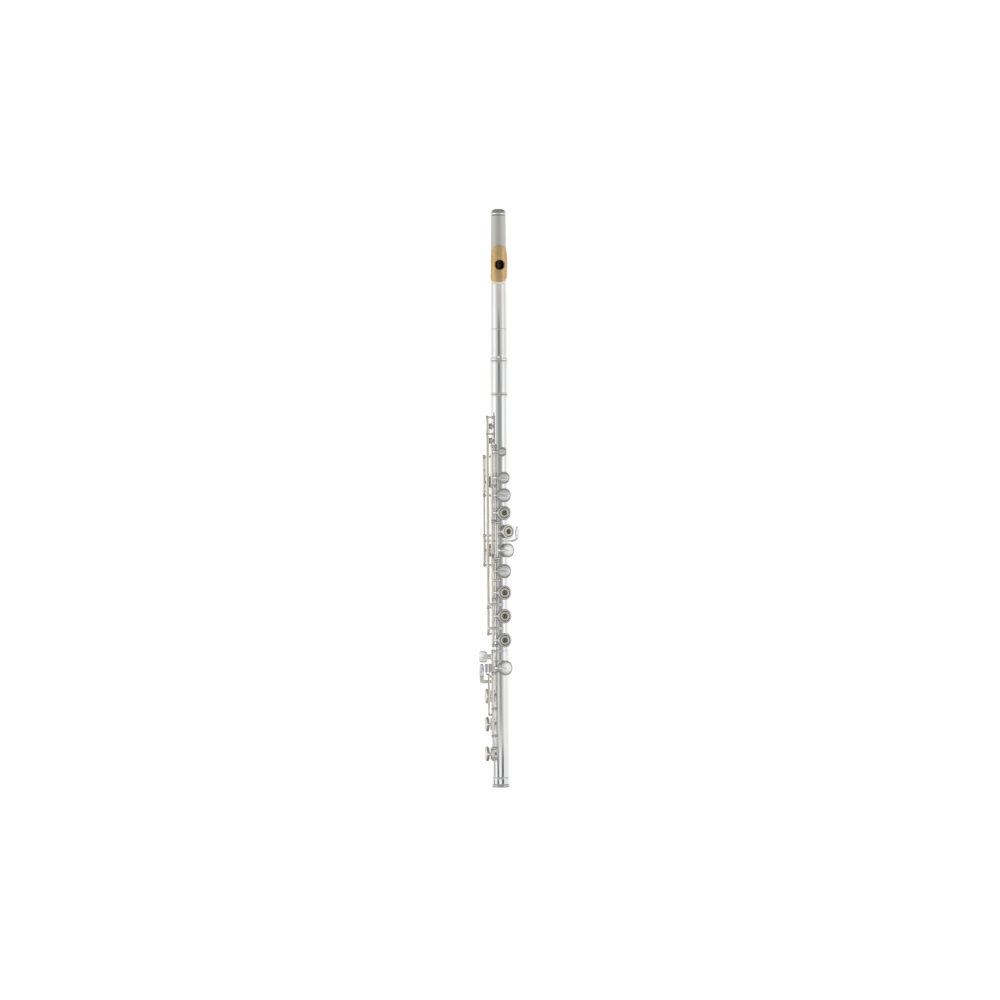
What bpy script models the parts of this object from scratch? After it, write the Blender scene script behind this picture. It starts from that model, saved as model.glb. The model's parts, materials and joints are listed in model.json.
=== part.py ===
"""Concert flute with a B foot, an offset G and five open-hole keys, as separate solids at rest.

+Z runs up the bore from the open end of the footjoint, where the origin is, to the crown. The row of keys faces -Y and
the hinge rods lie on the -X side. Angles are in degrees about +Z, measured from -Y towards -X. Sizes are millimetres.
"""

import math

import bmesh
import bpy
from mathutils import Matrix, Vector

MM = 0.001

# Clearances
SLIP = 0.15  # a tenon in its socket, each side
SEAT = 0.3  # a piece resting on its neighbour
ROD_GAP = 0.5  # between one key's hinge tube and the next, or a post

# Tubes
BORE_RADIUS = 9.5
WALL = 0.4
TUBE_RADIUS = BORE_RADIUS + WALL
TUBE_SIDES = 32
FOOT_LENGTH = 168.0
BODY_TENON = 12.8
BODY_TUBE_LENGTH = 344.8
HEAD_TENON = 24.3
HEAD_LENGTH = 197.8
HEAD_TOP_RADIUS = TUBE_RADIUS - 1.0
HEAD_TENON_RADIUS = TUBE_RADIUS - 0.25
HEAD_TAPER_START = 59.4
BARREL_LENGTH = 46.5
BARREL_OVERLAP = 22.1
BARREL_WALL = 0.35
BARREL_BEAD = 0.45
RECEIVER_WALL = 0.35
END_RING = (0.55, 12.0)  # how far it stands out, and its length

BODY_BASE = FOOT_LENGTH - BODY_TENON
BODY_TOP = BODY_BASE + BODY_TUBE_LENGTH
HEAD_BASE = BODY_TOP + 2 * SEAT
BARREL_BASE = BODY_TOP - BARREL_OVERLAP

# Mouthpiece, measured up from the lower end of the head tube
LIP_ANGLE = 16.0
BLOW_HOLE_HEIGHT = 137.1
BLOW_HOLE = (10.8, 12.1)  # across and along the tube
LIP_LENGTH = 47.9
LIP_ARC_RADIUS = TUBE_RADIUS + 1.0
LIP_TOP = TUBE_RADIUS + 4.3
LIP_HALF_WRAP = 72.0
LIP_THICKNESS = 0.8
RISER_WALL = 1.6
STOPPER_DISTANCE = 17.3
STOPPER_PLATE = 1.2
STOPPER_CORK_LENGTH = 16.0
STOPPER_SCREW_RADIUS = 1.5
STOPPER_SCREW_IN_CROWN = 3.6
STOPPER_TRAVEL = 1.1
CROWN_HEIGHT = 8.2
CROWN_BEAD = 0.5

# Tone holes: (height above the tube's lower end, angle, cup radius, bore of the hole)
CHIMNEY_TOP = TUBE_RADIUS + 2.5
CHIMNEY_WALL = 0.5
CHIMNEY_SIDES = 16
MAIN_ROW = 0.0
BODY_HOLES = {
    "d": (24.7, MAIN_ROW, 8.7, 6.9),
    "e": (54.0, MAIN_ROW, 8.7, 6.9),
    "f": (82.7, MAIN_ROW, 8.7, 6.9),
    "f_sharp": (108.9, MAIN_ROW, 8.7, 6.9),
    "g_sharp": (134.2, 165.0, 8.7, 6.9),
    "g_lower": (134.2, -18.0, 8.7, 6.9),
    "g_upper": (157.1, -18.0, 8.7, 6.9),
    "a": (180.0, MAIN_ROW, 8.7, 6.9),
    "b_flat": (201.4, MAIN_ROW, 8.7, 6.9),
    "thumb_b": (217.8, 170.0, 7.7, 5.9),
    "c": (222.8, MAIN_ROW, 7.3, 5.5),
    "c_sharp": (254.5, 9.0, 5.9, 3.7),
    "d_trill": (268.1, 105.0, 5.1, 3.5),
    "d_sharp_trill": (285.8, 105.0, 5.1, 3.5),
}
FOOT_HOLES = {
    "foot_b": (40.7, 112.0, 9.0, 7.2),
    "foot_c": (77.0, 112.0, 9.0, 7.2),
    "foot_c_sharp": (111.3, 112.0, 9.0, 7.2),
    "foot_d_sharp": (145.9, -6.0, 9.0, 7.2),
}

# Cups and pads, measured outwards from the rim of the chimney when closed
PAD_LIFT = 0.12
PAD_THICKNESS = 2.2
PAD_MARGIN = 0.9
CUP_SKIRT = 0.8
CUP_SIDE = 0.6
CUP_CEILING = PAD_LIFT + PAD_THICKNESS + SEAT
CUP_TOP = CUP_CEILING + 1.0
FINGER_HOLE_RADIUS = 3.5
CUP_SIDES = 16
ARM_THICKNESS = 1.3
ARM_WIDTH = 4.0
OPEN_STAND = 9.0
THUMB_STAND = 6.0

# Hinges
STEEL_RADIUS = 0.9
HINGE_BORE = STEEL_RADIUS + SEAT
HINGE_WALL = 0.6
HINGE_RADIUS = HINGE_BORE + HINGE_WALL
HINGE_SIDES = 10
MAIN_LINE = (53.0, CHIMNEY_TOP + 4.6)
G_LINE = (35.0, CHIMNEY_TOP + 4.6)
TRILL_LINE = (74.0, CHIMNEY_TOP + 6.1)
THUMB_LINE = (100.4, CHIMNEY_TOP + 6.9)
FOOT_LINE = (56.0, CHIMNEY_TOP + 4.6)
POST_RADIUS = 1.3
HEAD_RADIUS = 2.1
POST_SIDES = 6
POST_REACH = HEAD_RADIUS + ROD_GAP
RIB_GAP = SEAT
RIB_THICKNESS = 0.8
MAIN_POSTS = (18.3, 74.8, 120.8, 169.8, 212.8, 261.3)
G_POSTS = (124.3, 168.3)
TRILL_POSTS = (32.4, 64.4, 276.3, 296.6)
THUMB_POSTS = (116.3, 152.3, 201.3, 248.8)
FOOT_POSTS = (35.0, 48.0, 63.0, 96.0, 139.6, 166.4)
FOOT_SPLIT = 133.4
MAIN_SPLITS = (46.3, 101.3, 193.3)
THUMB_SPLITS = (231.7,)
STEEL_END = 1.5

# Touches: the angle that they face, and their heights over their hinge lines
TOUCH_ANGLE = 22.0
TOUCH_THICKNESS = 1.6
TRILL_LIFT = 6.7
SHAKE_LIFT = 4.6
LEVER_CLEARANCE = 1.3
LEAF_REACH = CHIMNEY_TOP + 8.6
THUMB_TOUCH_ANGLES = (142.0, 160.0)
ROLLER_RADIUS = 1.7
ROLLER_LENGTH = 10.4
C_ROLLER = (7.9, 1.2)  # across and out from the foot line
B_ROLLER = (3.7, 1.2)
ROLLER_AXLE = 0.6
ROLLERS_AT = 146.1
ROLLER_CAP = 0.7
D_SHARP_TOUCH_Z = 159.7

AXIAL = Matrix.Identity(4)


def spot(angle, side, height, z):
    """A point beside the line that leaves the bore's axis at this angle: so far across, out and up."""
    turn = math.radians(angle)
    out = Vector((-math.sin(turn), -math.cos(turn), 0))
    across = Vector((-math.cos(turn), math.sin(turn), 0))
    return out * height + across * side + Vector((0, 0, z))


def polar(angle, radius, z):
    return spot(angle, 0, radius, z)


def radial_frame(angle, z):
    """Takes local X across the tube, local Y up it and local Z outwards at this angle."""
    origin = spot(angle, 0, 0, z)
    axes = (spot(angle, 1, 0, 0), Vector((0, 0, 1)), spot(angle, 0, 1, 0))
    frame = Matrix.Translation(origin)
    for column, axis in enumerate(axes):
        for row in range(3):
            frame[row][column] = axis[row]
    return frame


def upright(point):
    """Takes local Z up the tube, through this point."""
    return Matrix.Translation(point)


def skin(rings, closed=False):
    """A closed mesh through rings of points. A ring of one point is a pole; open ends of more points are capped."""
    mesh = bmesh.new()
    loops = [[mesh.verts.new(point * MM) for point in ring] for ring in rings]
    pairs = list(zip(loops, loops[1:]))
    if closed:
        pairs.append((loops[-1], loops[0]))
    for low, high in pairs:
        count = max(len(low), len(high))
        for i in range(count):
            j = (i + 1) % count
            if len(low) == 1:
                mesh.faces.new((low[0], high[j], high[i]))
            elif len(high) == 1:
                mesh.faces.new((low[i], low[j], high[0]))
            else:
                mesh.faces.new((low[i], low[j], high[j], high[i]))
    if not closed:
        for loop in (loops[0], loops[-1]):
            if len(loop) > 1:
                mesh.faces.new(loop)
    bmesh.ops.recalc_face_normals(mesh, faces=mesh.faces)
    return mesh


def turned(profile, sides, frame=AXIAL, closed=False):
    """A profile of (radius, height) points turned about the frame's Z axis."""
    rings = []
    for radius, height in profile:
        count = sides if radius > 0 else 1
        angles = [2 * math.pi * i / sides for i in range(count)]
        rings.append([frame @ Vector((radius * math.cos(a), radius * math.sin(a), height)) for a in angles])
    return skin(rings, closed)


def rod(radius, low, high, sides, frame=AXIAL):
    return turned([(radius, low), (radius, high)], sides, frame)


def oval_rod(half_across, half_along, low, high, sides, frame):
    rings = []
    for height in (low, high):
        angles = [2 * math.pi * i / sides for i in range(sides)]
        rings.append([frame @ Vector((half_across * math.cos(a), half_along * math.sin(a), height)) for a in angles])
    return skin(rings)


def bar(points, widths, thickness, side):
    """A flat bar along the points. Its width lies along side and its thickness across both."""
    side = Vector(side).normalized()
    rings = []
    for i, point in enumerate(points):
        ahead = points[min(i + 1, len(points) - 1)] - points[max(i - 1, 0)]
        face = ahead.cross(side).normalized() * thickness / 2
        half = side * widths[i] / 2
        rings.append([point + half + face, point - half + face, point - half - face, point + half - face])
    return skin(rings)


def plate(centre, across, along, thickness, angle, corner=3.0, sides=14):
    """A flat touch with rounded corners, facing the given angle."""
    frame = radial_frame(angle, 0)
    rings = []
    for lift in (-thickness / 2, thickness / 2):
        ring = []
        for i in range(sides):
            turn = 2 * math.pi * (i + 0.5) / sides
            x = math.copysign(abs(math.cos(turn)) ** (2 / corner), math.cos(turn)) * across / 2
            y = math.copysign(abs(math.sin(turn)) ** (2 / corner), math.sin(turn)) * along / 2
            ring.append(centre + frame.to_3x3() @ Vector((x, y, lift)))
        rings.append(ring)
    return skin(rings)


def strap(angles, stations, steps=4):
    """A curved strap along the tube between two angles, through stations of (height, inner radius)."""
    turns = [angles[0] + (angles[1] - angles[0]) * i / steps for i in range(steps + 1)]
    rings = []
    for height, radius in stations:
        inner = [polar(turn, radius, height) for turn in turns]
        outer = [polar(turn, radius + RIB_THICKNESS, height) for turn in reversed(turns)]
        rings.append(inner + outer)
    return skin(rings)


def collection(name, parent):
    made = bpy.data.collections.new(name)
    parent.children.link(made)
    return made


def clear_scene():
    for item in list(bpy.data.objects):
        bpy.data.objects.remove(item, do_unlink=True)


def metal(name, colour, roughness, metallic=1.0):
    material = bpy.data.materials.new(name)
    material.use_nodes = True
    shader = material.node_tree.nodes["Principled BSDF"]
    shader.inputs["Base Color"].default_value = (*colour, 1)
    shader.inputs["Roughness"].default_value = roughness
    shader.inputs["Metallic"].default_value = metallic
    return material


class Workshop:
    """Makes objects from meshes and keeps the shapes that join or cut them out of the render."""

    def __init__(self):
        scene = bpy.context.scene.collection
        self.pieces = collection("flute", scene)
        self.helpers = collection("helpers", scene)
        self.helpers.hide_render = True
        self.silver = metal("silver", (0.86, 0.86, 0.88), 0.12)
        self.gold = metal("gold", (0.83, 0.62, 0.36), 0.18)
        self.steel = metal("steel", (0.6, 0.6, 0.62), 0.25)
        self.skin_pad = metal("pad_skin", (0.86, 0.79, 0.6), 0.7, 0.0)
        self.cork = metal("cork", (0.6, 0.42, 0.25), 0.9, 0.0)

    def axis(self, name, point, turn):
        """An empty on a hinge line, turned from the closed position to the rest position."""
        empty = bpy.data.objects.new(name + "_axis", None)
        empty.location = point * MM
        empty.rotation_euler.z = math.radians(turn)
        self.pieces.objects.link(empty)
        return empty

    def thing(self, name, mesh, where, axis):
        data = bpy.data.meshes.new(name)
        if axis:
            bmesh.ops.translate(mesh, verts=mesh.verts, vec=-axis.location)
        mesh.to_mesh(data)
        mesh.free()
        data.shade_smooth()
        data.set_sharp_from_angle(angle=math.radians(40))
        made = bpy.data.objects.new(name, data)
        where.objects.link(made)
        made.parent = axis
        return made

    def helper_group(self, name, meshes, axis):
        group = collection(name, self.helpers)
        for number, mesh in enumerate(meshes):
            made = self.thing(f"{name}_{number}", mesh, group, axis)
            made.hide_render = True
            made.display_type = "WIRE"
        return group

    def piece(self, name, shapes, material, cuts=(), axis=None):
        """One object: the first shape joined with the others, less the cuts."""
        made = self.thing(name, shapes[0], self.pieces, axis)
        made.data.materials.append(material)
        for title, meshes, operation in (("joined", shapes[1:], "UNION"), ("cut", cuts, "DIFFERENCE")):
            if not meshes:
                continue
            modifier = made.modifiers.new(title, "BOOLEAN")
            modifier.operation = operation
            modifier.operand_type = "COLLECTION"
            modifier.collection = self.helper_group(f"{name}_{title}", meshes, axis)
        return made


def spans(posts, splits=()):
    """The stretches of a hinge line between its posts, divided again at the splits."""
    found = []
    for low, high in zip(posts, posts[1:]):
        inside = [split for split in splits if low < split < high]
        starts = [low + POST_REACH] + [split + ROD_GAP / 2 for split in inside]
        ends = [split - ROD_GAP / 2 for split in inside] + [high - POST_REACH]
        found.extend(zip(starts, ends))
    return found


def chimney_radius(hole):
    return hole[3] + CHIMNEY_WALL


def chimneys(holes, base):
    """The solid chimneys that stand on a tube, and the holes to cut through them."""
    walls, bores = [], []
    for hole in holes.values():
        frame = radial_frame(hole[1], base + hole[0])
        walls.append(rod(chimney_radius(hole), TUBE_RADIUS / 2, CHIMNEY_TOP, CHIMNEY_SIDES, frame))
        bores.append(rod(hole[3], TUBE_RADIUS / 2 - 1, CHIMNEY_TOP + 2, CHIMNEY_SIDES, frame))
    return walls, bores


def cup(hole, base, fingered):
    """A key cup over its hole when closed: a cap with a recess for the pad, and a finger hole in an open key."""
    top, ceiling, skirt = (CHIMNEY_TOP + part for part in (CUP_TOP, CUP_CEILING, CUP_SKIRT))
    radius = hole[2]
    shape = [(radius - 0.9, top), (radius, top - 0.8), (radius, skirt), (radius - CUP_SIDE, skirt)]
    shape.append((radius - CUP_SIDE, ceiling))
    inner = FINGER_HOLE_RADIUS if fingered else 0
    shape = [(inner, top)] + shape + [(inner, ceiling)]
    return turned(shape, CUP_SIDES, radial_frame(hole[1], base + hole[0]), closed=fingered)


def pad(hole, base, fingered):
    low = CHIMNEY_TOP + PAD_LIFT
    high = low + PAD_THICKNESS
    radius = hole[2] - PAD_MARGIN
    frame = radial_frame(hole[1], base + hole[0])
    if not fingered:
        return rod(radius, low, high, CUP_SIDES, frame)
    inner = FINGER_HOLE_RADIUS + 0.1
    return turned([(inner, low), (radius, low), (radius, high), (inner, high)], CUP_SIDES, frame, closed=True)


def cup_arm(hole, base, line, fingered):
    """The arm from a hinge line to a cup: over the top to its middle, or to the side of a cup with a finger hole."""
    turn = math.radians(line[0] - hole[1])
    hinge_side, hinge_height = line[1] * math.sin(turn), line[1] * math.cos(turn)
    toward = math.copysign(1, hinge_side)
    top = CHIMNEY_TOP + CUP_TOP
    radius = hole[2]
    if fingered:
        side_height = top - 1.3
        route = [(hinge_side - toward * 0.4, hinge_height + 0.9), (toward * (radius + 1.7), side_height)]
        route.append((toward * (radius - CUP_SIDE / 2), side_height))
        widths = (ARM_WIDTH, ARM_WIDTH, ARM_WIDTH * 1.2)
    else:
        over = top + ARM_THICKNESS / 2 - 0.3
        shoulder = toward * (radius + max(0.6, (abs(hinge_side) - radius) * 0.45))
        route = [(hinge_side - toward * 0.4, min(hinge_height + 0.9, over)), (shoulder, over - 0.8)]
        route += [(toward * (radius - 1.2), over), (-toward * 0.5, over)]
        widths = (ARM_WIDTH, ARM_WIDTH, ARM_WIDTH * 0.8, 1.0)
    z = base + hole[0]
    points = [spot(hole[1], side, height, z) for side, height in route]
    return bar(points, widths, ARM_THICKNESS, (0, 0, 1))


def hinge_tube(line, span, base):
    return rod(HINGE_RADIUS, base + span[0], base + span[1], HINGE_SIDES, upright(polar(*line, 0)))


def hinge_bore(line, span, base):
    return rod(HINGE_BORE, base + span[0] - 1, base + span[1] + 1, HINGE_SIDES, upright(polar(*line, 0)))


def opening_sense(hole, line):
    """+1 where the cup opens by turning forwards about +Z, -1 where it opens by turning back."""
    return -math.copysign(1, math.sin(math.radians(line[0] - hole[1])))


class KeyPlan:
    """One key: its hinge line, its stretch of it, its cups, and the extra shapes that it carries."""

    def __init__(self, name, line, span, base, holes, stand=0.0, fingered=(), extra=(), pads=None, solid=False):
        self.name, self.line, self.span, self.base = name, line, span, base
        self.holes, self.stand, self.fingered = holes, stand, fingered
        self.extra, self.pads, self.solid = list(extra), pads or {}, solid

    def make(self, workshop, tone_holes):
        first = tone_holes[self.holes[0]] if self.holes else None
        turn = self.stand * opening_sense(first, self.line) if first else self.stand
        axis = workshop.axis(self.name, polar(*self.line, self.base + self.span[0]), turn)
        shapes = [hinge_tube(self.line, self.span, self.base)]
        for name in self.holes:
            open_hole = name in self.fingered
            shapes.append(cup(tone_holes[name], self.base, open_hole))
            shapes.append(cup_arm(tone_holes[name], self.base, self.line, open_hole))
        shapes += self.extra
        cuts = () if self.solid else (hinge_bore(self.line, self.span, self.base),)
        workshop.piece(self.name, shapes, workshop.silver, cuts, axis)
        for name in self.holes:
            shape = pad(tone_holes[name], self.base, name in self.fingered)
            workshop.piece(self.pads.get(name, name + "_pad"), [shape], workshop.skin_pad, (), axis)
        return axis


def make_head(workshop):
    """The headjoint: tapered tube, lip plate on its riser, crown, and the stopper inside."""
    top = HEAD_BASE + HEAD_LENGTH
    taper_start = HEAD_BASE + HEAD_TAPER_START
    outside = [
        (HEAD_TENON_RADIUS, HEAD_BASE),
        (HEAD_TENON_RADIUS, HEAD_BASE + HEAD_TENON),
        (TUBE_RADIUS - 0.1, HEAD_BASE + HEAD_TENON + 1),
        (TUBE_RADIUS - 0.1, taper_start),
        (HEAD_TOP_RADIUS, top),
    ]
    inside = [(min(radius, HEAD_TENON_RADIUS) - WALL, height) for radius, height in outside]
    inside = [inside[0], inside[3], inside[4]]
    blow_z = HEAD_BASE + BLOW_HOLE_HEIGHT
    frame = radial_frame(LIP_ANGLE, blow_z)
    half_across, half_along = BLOW_HOLE[0] / 2, BLOW_HOLE[1] / 2
    hole = oval_rod(half_across, half_along, 3, LIP_TOP + 3, 24, frame)
    tube = turned(outside + inside[::-1], TUBE_SIDES, closed=True)
    workshop.piece("head_tube", [tube], workshop.silver, [hole])

    def outer_radius(z):
        share = max(0, (z - taper_start) / (top - taper_start))
        return TUBE_RADIUS - 0.1 + (HEAD_TOP_RADIUS - TUBE_RADIUS + 0.1) * share

    lip_centre = LIP_TOP - LIP_ARC_RADIUS
    rings = []
    for step in range(-6, 7):
        share = math.sin(step / 6 * math.pi / 2) * 0.985
        wrap = LIP_HALF_WRAP * (1 - abs(share) ** 2.6) ** 0.5
        turns = [math.radians(wrap * i / 4) for i in range(-4, 5)]
        z = blow_z + share * LIP_LENGTH / 2
        outer = [(LIP_ARC_RADIUS * math.sin(t), lip_centre + LIP_ARC_RADIUS * math.cos(t)) for t in turns]
        radius = LIP_ARC_RADIUS - LIP_THICKNESS
        inner = [(radius * math.sin(t), lip_centre + radius * math.cos(t)) for t in reversed(turns)]
        rings.append([spot(LIP_ANGLE, side, height, z) for side, height in outer + inner])
    hole = oval_rod(half_across, half_along, 3, LIP_TOP + 3, 24, frame)
    workshop.piece("lip_plate", [skin(rings)], workshop.gold, [hole])

    radius = outer_radius(blow_z)
    riser = oval_rod(half_across + RISER_WALL, half_along + RISER_WALL, radius / 2, LIP_TOP - 2, 24, frame)
    reach = half_along + RISER_WALL + 5
    tube_cut = rod(radius + SEAT, blow_z - reach, blow_z + reach, TUBE_SIDES)
    under = LIP_ARC_RADIUS - LIP_THICKNESS - SEAT
    ceiling = upright(spot(LIP_ANGLE, 0, lip_centre, 0))
    beyond = turned(
        [(under, blow_z - reach), (3 * under, blow_z - reach), (3 * under, blow_z + reach), (under, blow_z + reach)],
        TUBE_SIDES,
        ceiling,
        closed=True,
    )
    hole = oval_rod(half_across, half_along, 3, LIP_TOP + 3, 24, frame)
    workshop.piece("lip_riser", [riser], workshop.gold, [tube_cut, beyond, hole])

    plate_low = blow_z + STOPPER_DISTANCE
    plate_high = plate_low + STOPPER_PLATE
    cork_low = plate_high + SEAT
    cork_high = cork_low + STOPPER_CORK_LENGTH
    cork_radius = outer_radius(cork_high) - WALL - 0.35
    workshop.piece("stopper_plate", [rod(cork_radius, plate_low, plate_high, TUBE_SIDES // 2)], workshop.steel)
    screw_hole = STOPPER_SCREW_RADIUS + SEAT
    cork_shape = [(screw_hole, cork_low), (cork_radius, cork_low), (cork_radius, cork_high), (screw_hole, cork_high)]
    workshop.piece("stopper_cork", [turned(cork_shape, TUBE_SIDES // 2, closed=True)], workshop.cork)
    screw_top = top + STOPPER_SCREW_IN_CROWN
    workshop.piece("stopper_screw", [rod(STOPPER_SCREW_RADIUS, cork_low, screw_top, 12)], workshop.steel)
    crown_low = top + SEAT
    rim = HEAD_TOP_RADIUS + CROWN_BEAD
    shape = [
        (screw_hole, crown_low),
        (rim - 0.5, crown_low),
        (rim, crown_low + 0.8),
        (rim, crown_low + 3.2),
        (rim - 0.6, crown_low + 4.0),
        (rim * 0.8, top + CROWN_HEIGHT * 0.86),
        (rim * 0.4, top + CROWN_HEIGHT),
        (0, top + CROWN_HEIGHT),
    ]
    hole_end = screw_top + STOPPER_TRAVEL + SEAT
    dome = [(0, hole_end), (screw_hole, hole_end)] + shape
    workshop.piece("crown", [turned(dome, TUBE_SIDES // 2)], workshop.silver)


def make_body(workshop):
    """The body tube with its chimneys, the barrel on its upper end, and the straps with their posts."""
    walls, bores = chimneys(BODY_HOLES, BODY_BASE)
    tube = rod(TUBE_RADIUS, BODY_BASE, BODY_TOP, TUBE_SIDES)
    bore = rod(BORE_RADIUS, BODY_BASE - 5, BODY_TOP + 5, TUBE_SIDES)
    workshop.piece("body_tube", [tube] + walls, workshop.silver, [bore] + bores)

    seat = TUBE_RADIUS + SLIP
    socket = HEAD_TENON_RADIUS + SLIP
    outside = seat + BARREL_WALL
    top = BARREL_BASE + BARREL_LENGTH
    step = BODY_TOP + SLIP
    profile = [
        (seat, BARREL_BASE),
        (outside + BARREL_BEAD, BARREL_BASE),
        (outside + BARREL_BEAD, BARREL_BASE + 1.8),
        (outside, BARREL_BASE + 2.2),
        (outside, top - 3.6),
        (outside + BARREL_BEAD, top - 3.0),
        (outside + BARREL_BEAD, top),
        (socket, top),
        (socket, step),
        (seat, step),
    ]
    workshop.piece("barrel", [turned(profile, TUBE_SIDES, closed=True)], workshop.silver)

    inner = TUBE_RADIUS + RIB_GAP
    low = BODY_BASE + MAIN_POSTS[0] - 4
    neck = BODY_BASE + MAIN_POSTS[-1] - 2
    high = BODY_BASE + TRILL_POSTS[-1] + 6
    shapes = [strap((49.0, 86.0), [(low, inner), (neck, inner)])]
    shapes.append(strap((62.0, 75.0), [(neck - 2, inner), (high, inner)], 2))
    shapes.append(strap((49.0, 75.0), [(neck - 4, inner), (neck + 5, inner)], 3))
    for height in G_POSTS:
        z = BODY_BASE + height
        shapes.append(strap((28.0, 52.0), [(z - 2.2, inner), (z + 2.2, inner)], 3))
    cuts = []
    lines = ((MAIN_LINE, MAIN_POSTS), (G_LINE, G_POSTS), (TRILL_LINE, TRILL_POSTS))
    for line, heights in lines:
        add_posts(shapes, cuts, line, [BODY_BASE + height for height in heights])
    workshop.piece("main_rib", shapes, workshop.silver, cuts)

    heights = [BODY_BASE + height for height in THUMB_POSTS]
    shapes = [strap((92.0, 110.0), [(heights[0] - 4, inner), (heights[-1] + 4, inner)], 2)]
    cuts = []
    add_posts(shapes, cuts, THUMB_LINE, heights)
    workshop.piece("thumb_rib", shapes, workshop.silver, cuts)

    main, last = MAIN_POSTS[3], MAIN_POSTS[-1]
    steel(workshop, "lower_steel", MAIN_LINE, MAIN_POSTS[0] - 2, main - 0.2)
    steel(workshop, "upper_steel", MAIN_LINE, main + 0.2, last + 2)
    steel(workshop, "g_steel", G_LINE, G_POSTS[0] - 2, G_POSTS[-1] + 2)
    steel(workshop, "thumb_steel", THUMB_LINE, THUMB_POSTS[0] - 2, THUMB_POSTS[-1] + 2)


def add_posts(shapes, cuts, line, heights):
    """Posts that stand on a strap and hold a hinge line in their heads."""
    angle, radius = line
    foot = TUBE_RADIUS + RIB_GAP + RIB_THICKNESS / 2
    for z in heights:
        shapes.append(rod(POST_RADIUS, foot, radius, POST_SIDES, radial_frame(angle, z)))
        head = upright(polar(angle, radius, z))
        shapes.append(rod(HEAD_RADIUS, -HEAD_RADIUS, HEAD_RADIUS, 2 * POST_SIDES, head))
        cuts.append(rod(HINGE_BORE, -2 * HEAD_RADIUS, 2 * HEAD_RADIUS, HINGE_SIDES, head))


def steel(workshop, name, line, low, high, base=BODY_BASE):
    shape = rod(STEEL_RADIUS, base + low, base + high, HINGE_SIDES, upright(polar(*line, 0)))
    workshop.piece(name, [shape], workshop.steel)


def from_line(line, points):
    """Points of (side, height, z), the first two measured from a hinge line in the frame that the touches face."""
    turn = math.radians(line[0] - TOUCH_ANGLE)
    side, height = line[1] * math.sin(turn), line[1] * math.cos(turn)
    return [spot(TOUCH_ANGLE, side + across, height + out, z) for across, out, z in points]


def touch(line, across, out, z, width, length, corner=3.0):
    """A touch plate placed from a hinge line."""
    (centre,) = from_line(line, [(across, out, z)])
    return plate(centre, width, length, TOUCH_THICKNESS, TOUCH_ANGLE, corner)


def shake_lever():
    """The long lever that runs down over the F sharp key to its touch."""
    z = BODY_BASE + MAIN_POSTS[2]
    touch_z = BODY_BASE + (BODY_HOLES["f"][0] + BODY_HOLES["f_sharp"][0]) / 2 + 1.8
    path = [(0.2, 0.8, z + 9), (0.0, SHAKE_LIFT, z + 3), (-0.8, SHAKE_LIFT, touch_z - 1.0)]
    lever = bar(from_line(MAIN_LINE, path), (3.0, 2.4, 2.4), ARM_THICKNESS, spot(TOUCH_ANGLE, 1, 0, 0))
    return [lever, touch(MAIN_LINE, -4.0, SHAKE_LIFT, touch_z, 8.4, 3.2)]


def trill_touch(z):
    """An arm from the trill rod over the main rod to a small touch between two cups."""
    path = [(-0.2, 1.2, z), (-1.4, 5.2, z), (-4.0, TRILL_LIFT, z), (-12.6, TRILL_LIFT, z)]
    arm = bar(from_line(TRILL_LINE, path), (3.2, 3.0, 2.6, 2.4), ARM_THICKNESS, (0, 0, 1))
    return [arm, touch(TRILL_LINE, -14.9, TRILL_LIFT, z, 8.2, 4.6)]


def g_sharp_lever():
    """The arm that passes round the front of the tube between the two G cups, and the leaf that it ends in."""
    z = BODY_BASE + (BODY_HOLES["g_lower"][0] + BODY_HOLES["g_upper"][0]) / 2 + 0.15
    radius = CHIMNEY_TOP + LEVER_CLEARANCE
    arc = [(THUMB_LINE[0] - 1.6, THUMB_LINE[1] - 1.4), (90.0, radius + 1.2)]
    arc += [(angle, radius) for angle in range(77, -50, -14)]
    points = [polar(angle, distance, z) for angle, distance in arc]
    points += [spot(TOUCH_ANGLE, -LEAF_REACH + 2.8, 4.6, z + 0.6), spot(TOUCH_ANGLE, -LEAF_REACH, 4.5, z + 3.4)]
    widths = [3.2] + [2.6] * (len(points) - 2) + [3.0]
    arm = bar(points, widths, ARM_THICKNESS, (0, 0, 1))
    leaf = plate(spot(TOUCH_ANGLE, -LEAF_REACH, 4.5, z + 9.4), 5.0, 15.6, TOUCH_THICKNESS, TOUCH_ANGLE, 2.2)
    return [arm, leaf]


def thumb_wing(z, touch_angles, radius, along):
    """A thumb touch that wraps from the thumb rod round the back of the tube."""
    start, end, middle = THUMB_LINE[0] + 3, touch_angles[1], sum(touch_angles) / 2
    angles = [start + (end - start) * i / 5 for i in range(6)]
    points = [polar(angle, THUMB_LINE[1] + (radius - THUMB_LINE[1]) * i / 5, z) for i, angle in enumerate(angles)]
    arm = bar(points, [3.4] * len(points), ARM_THICKNESS, (0, 0, 1))
    return [arm, plate(polar(middle, radius, z), 11.0, along, TOUCH_THICKNESS, middle)]


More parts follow.
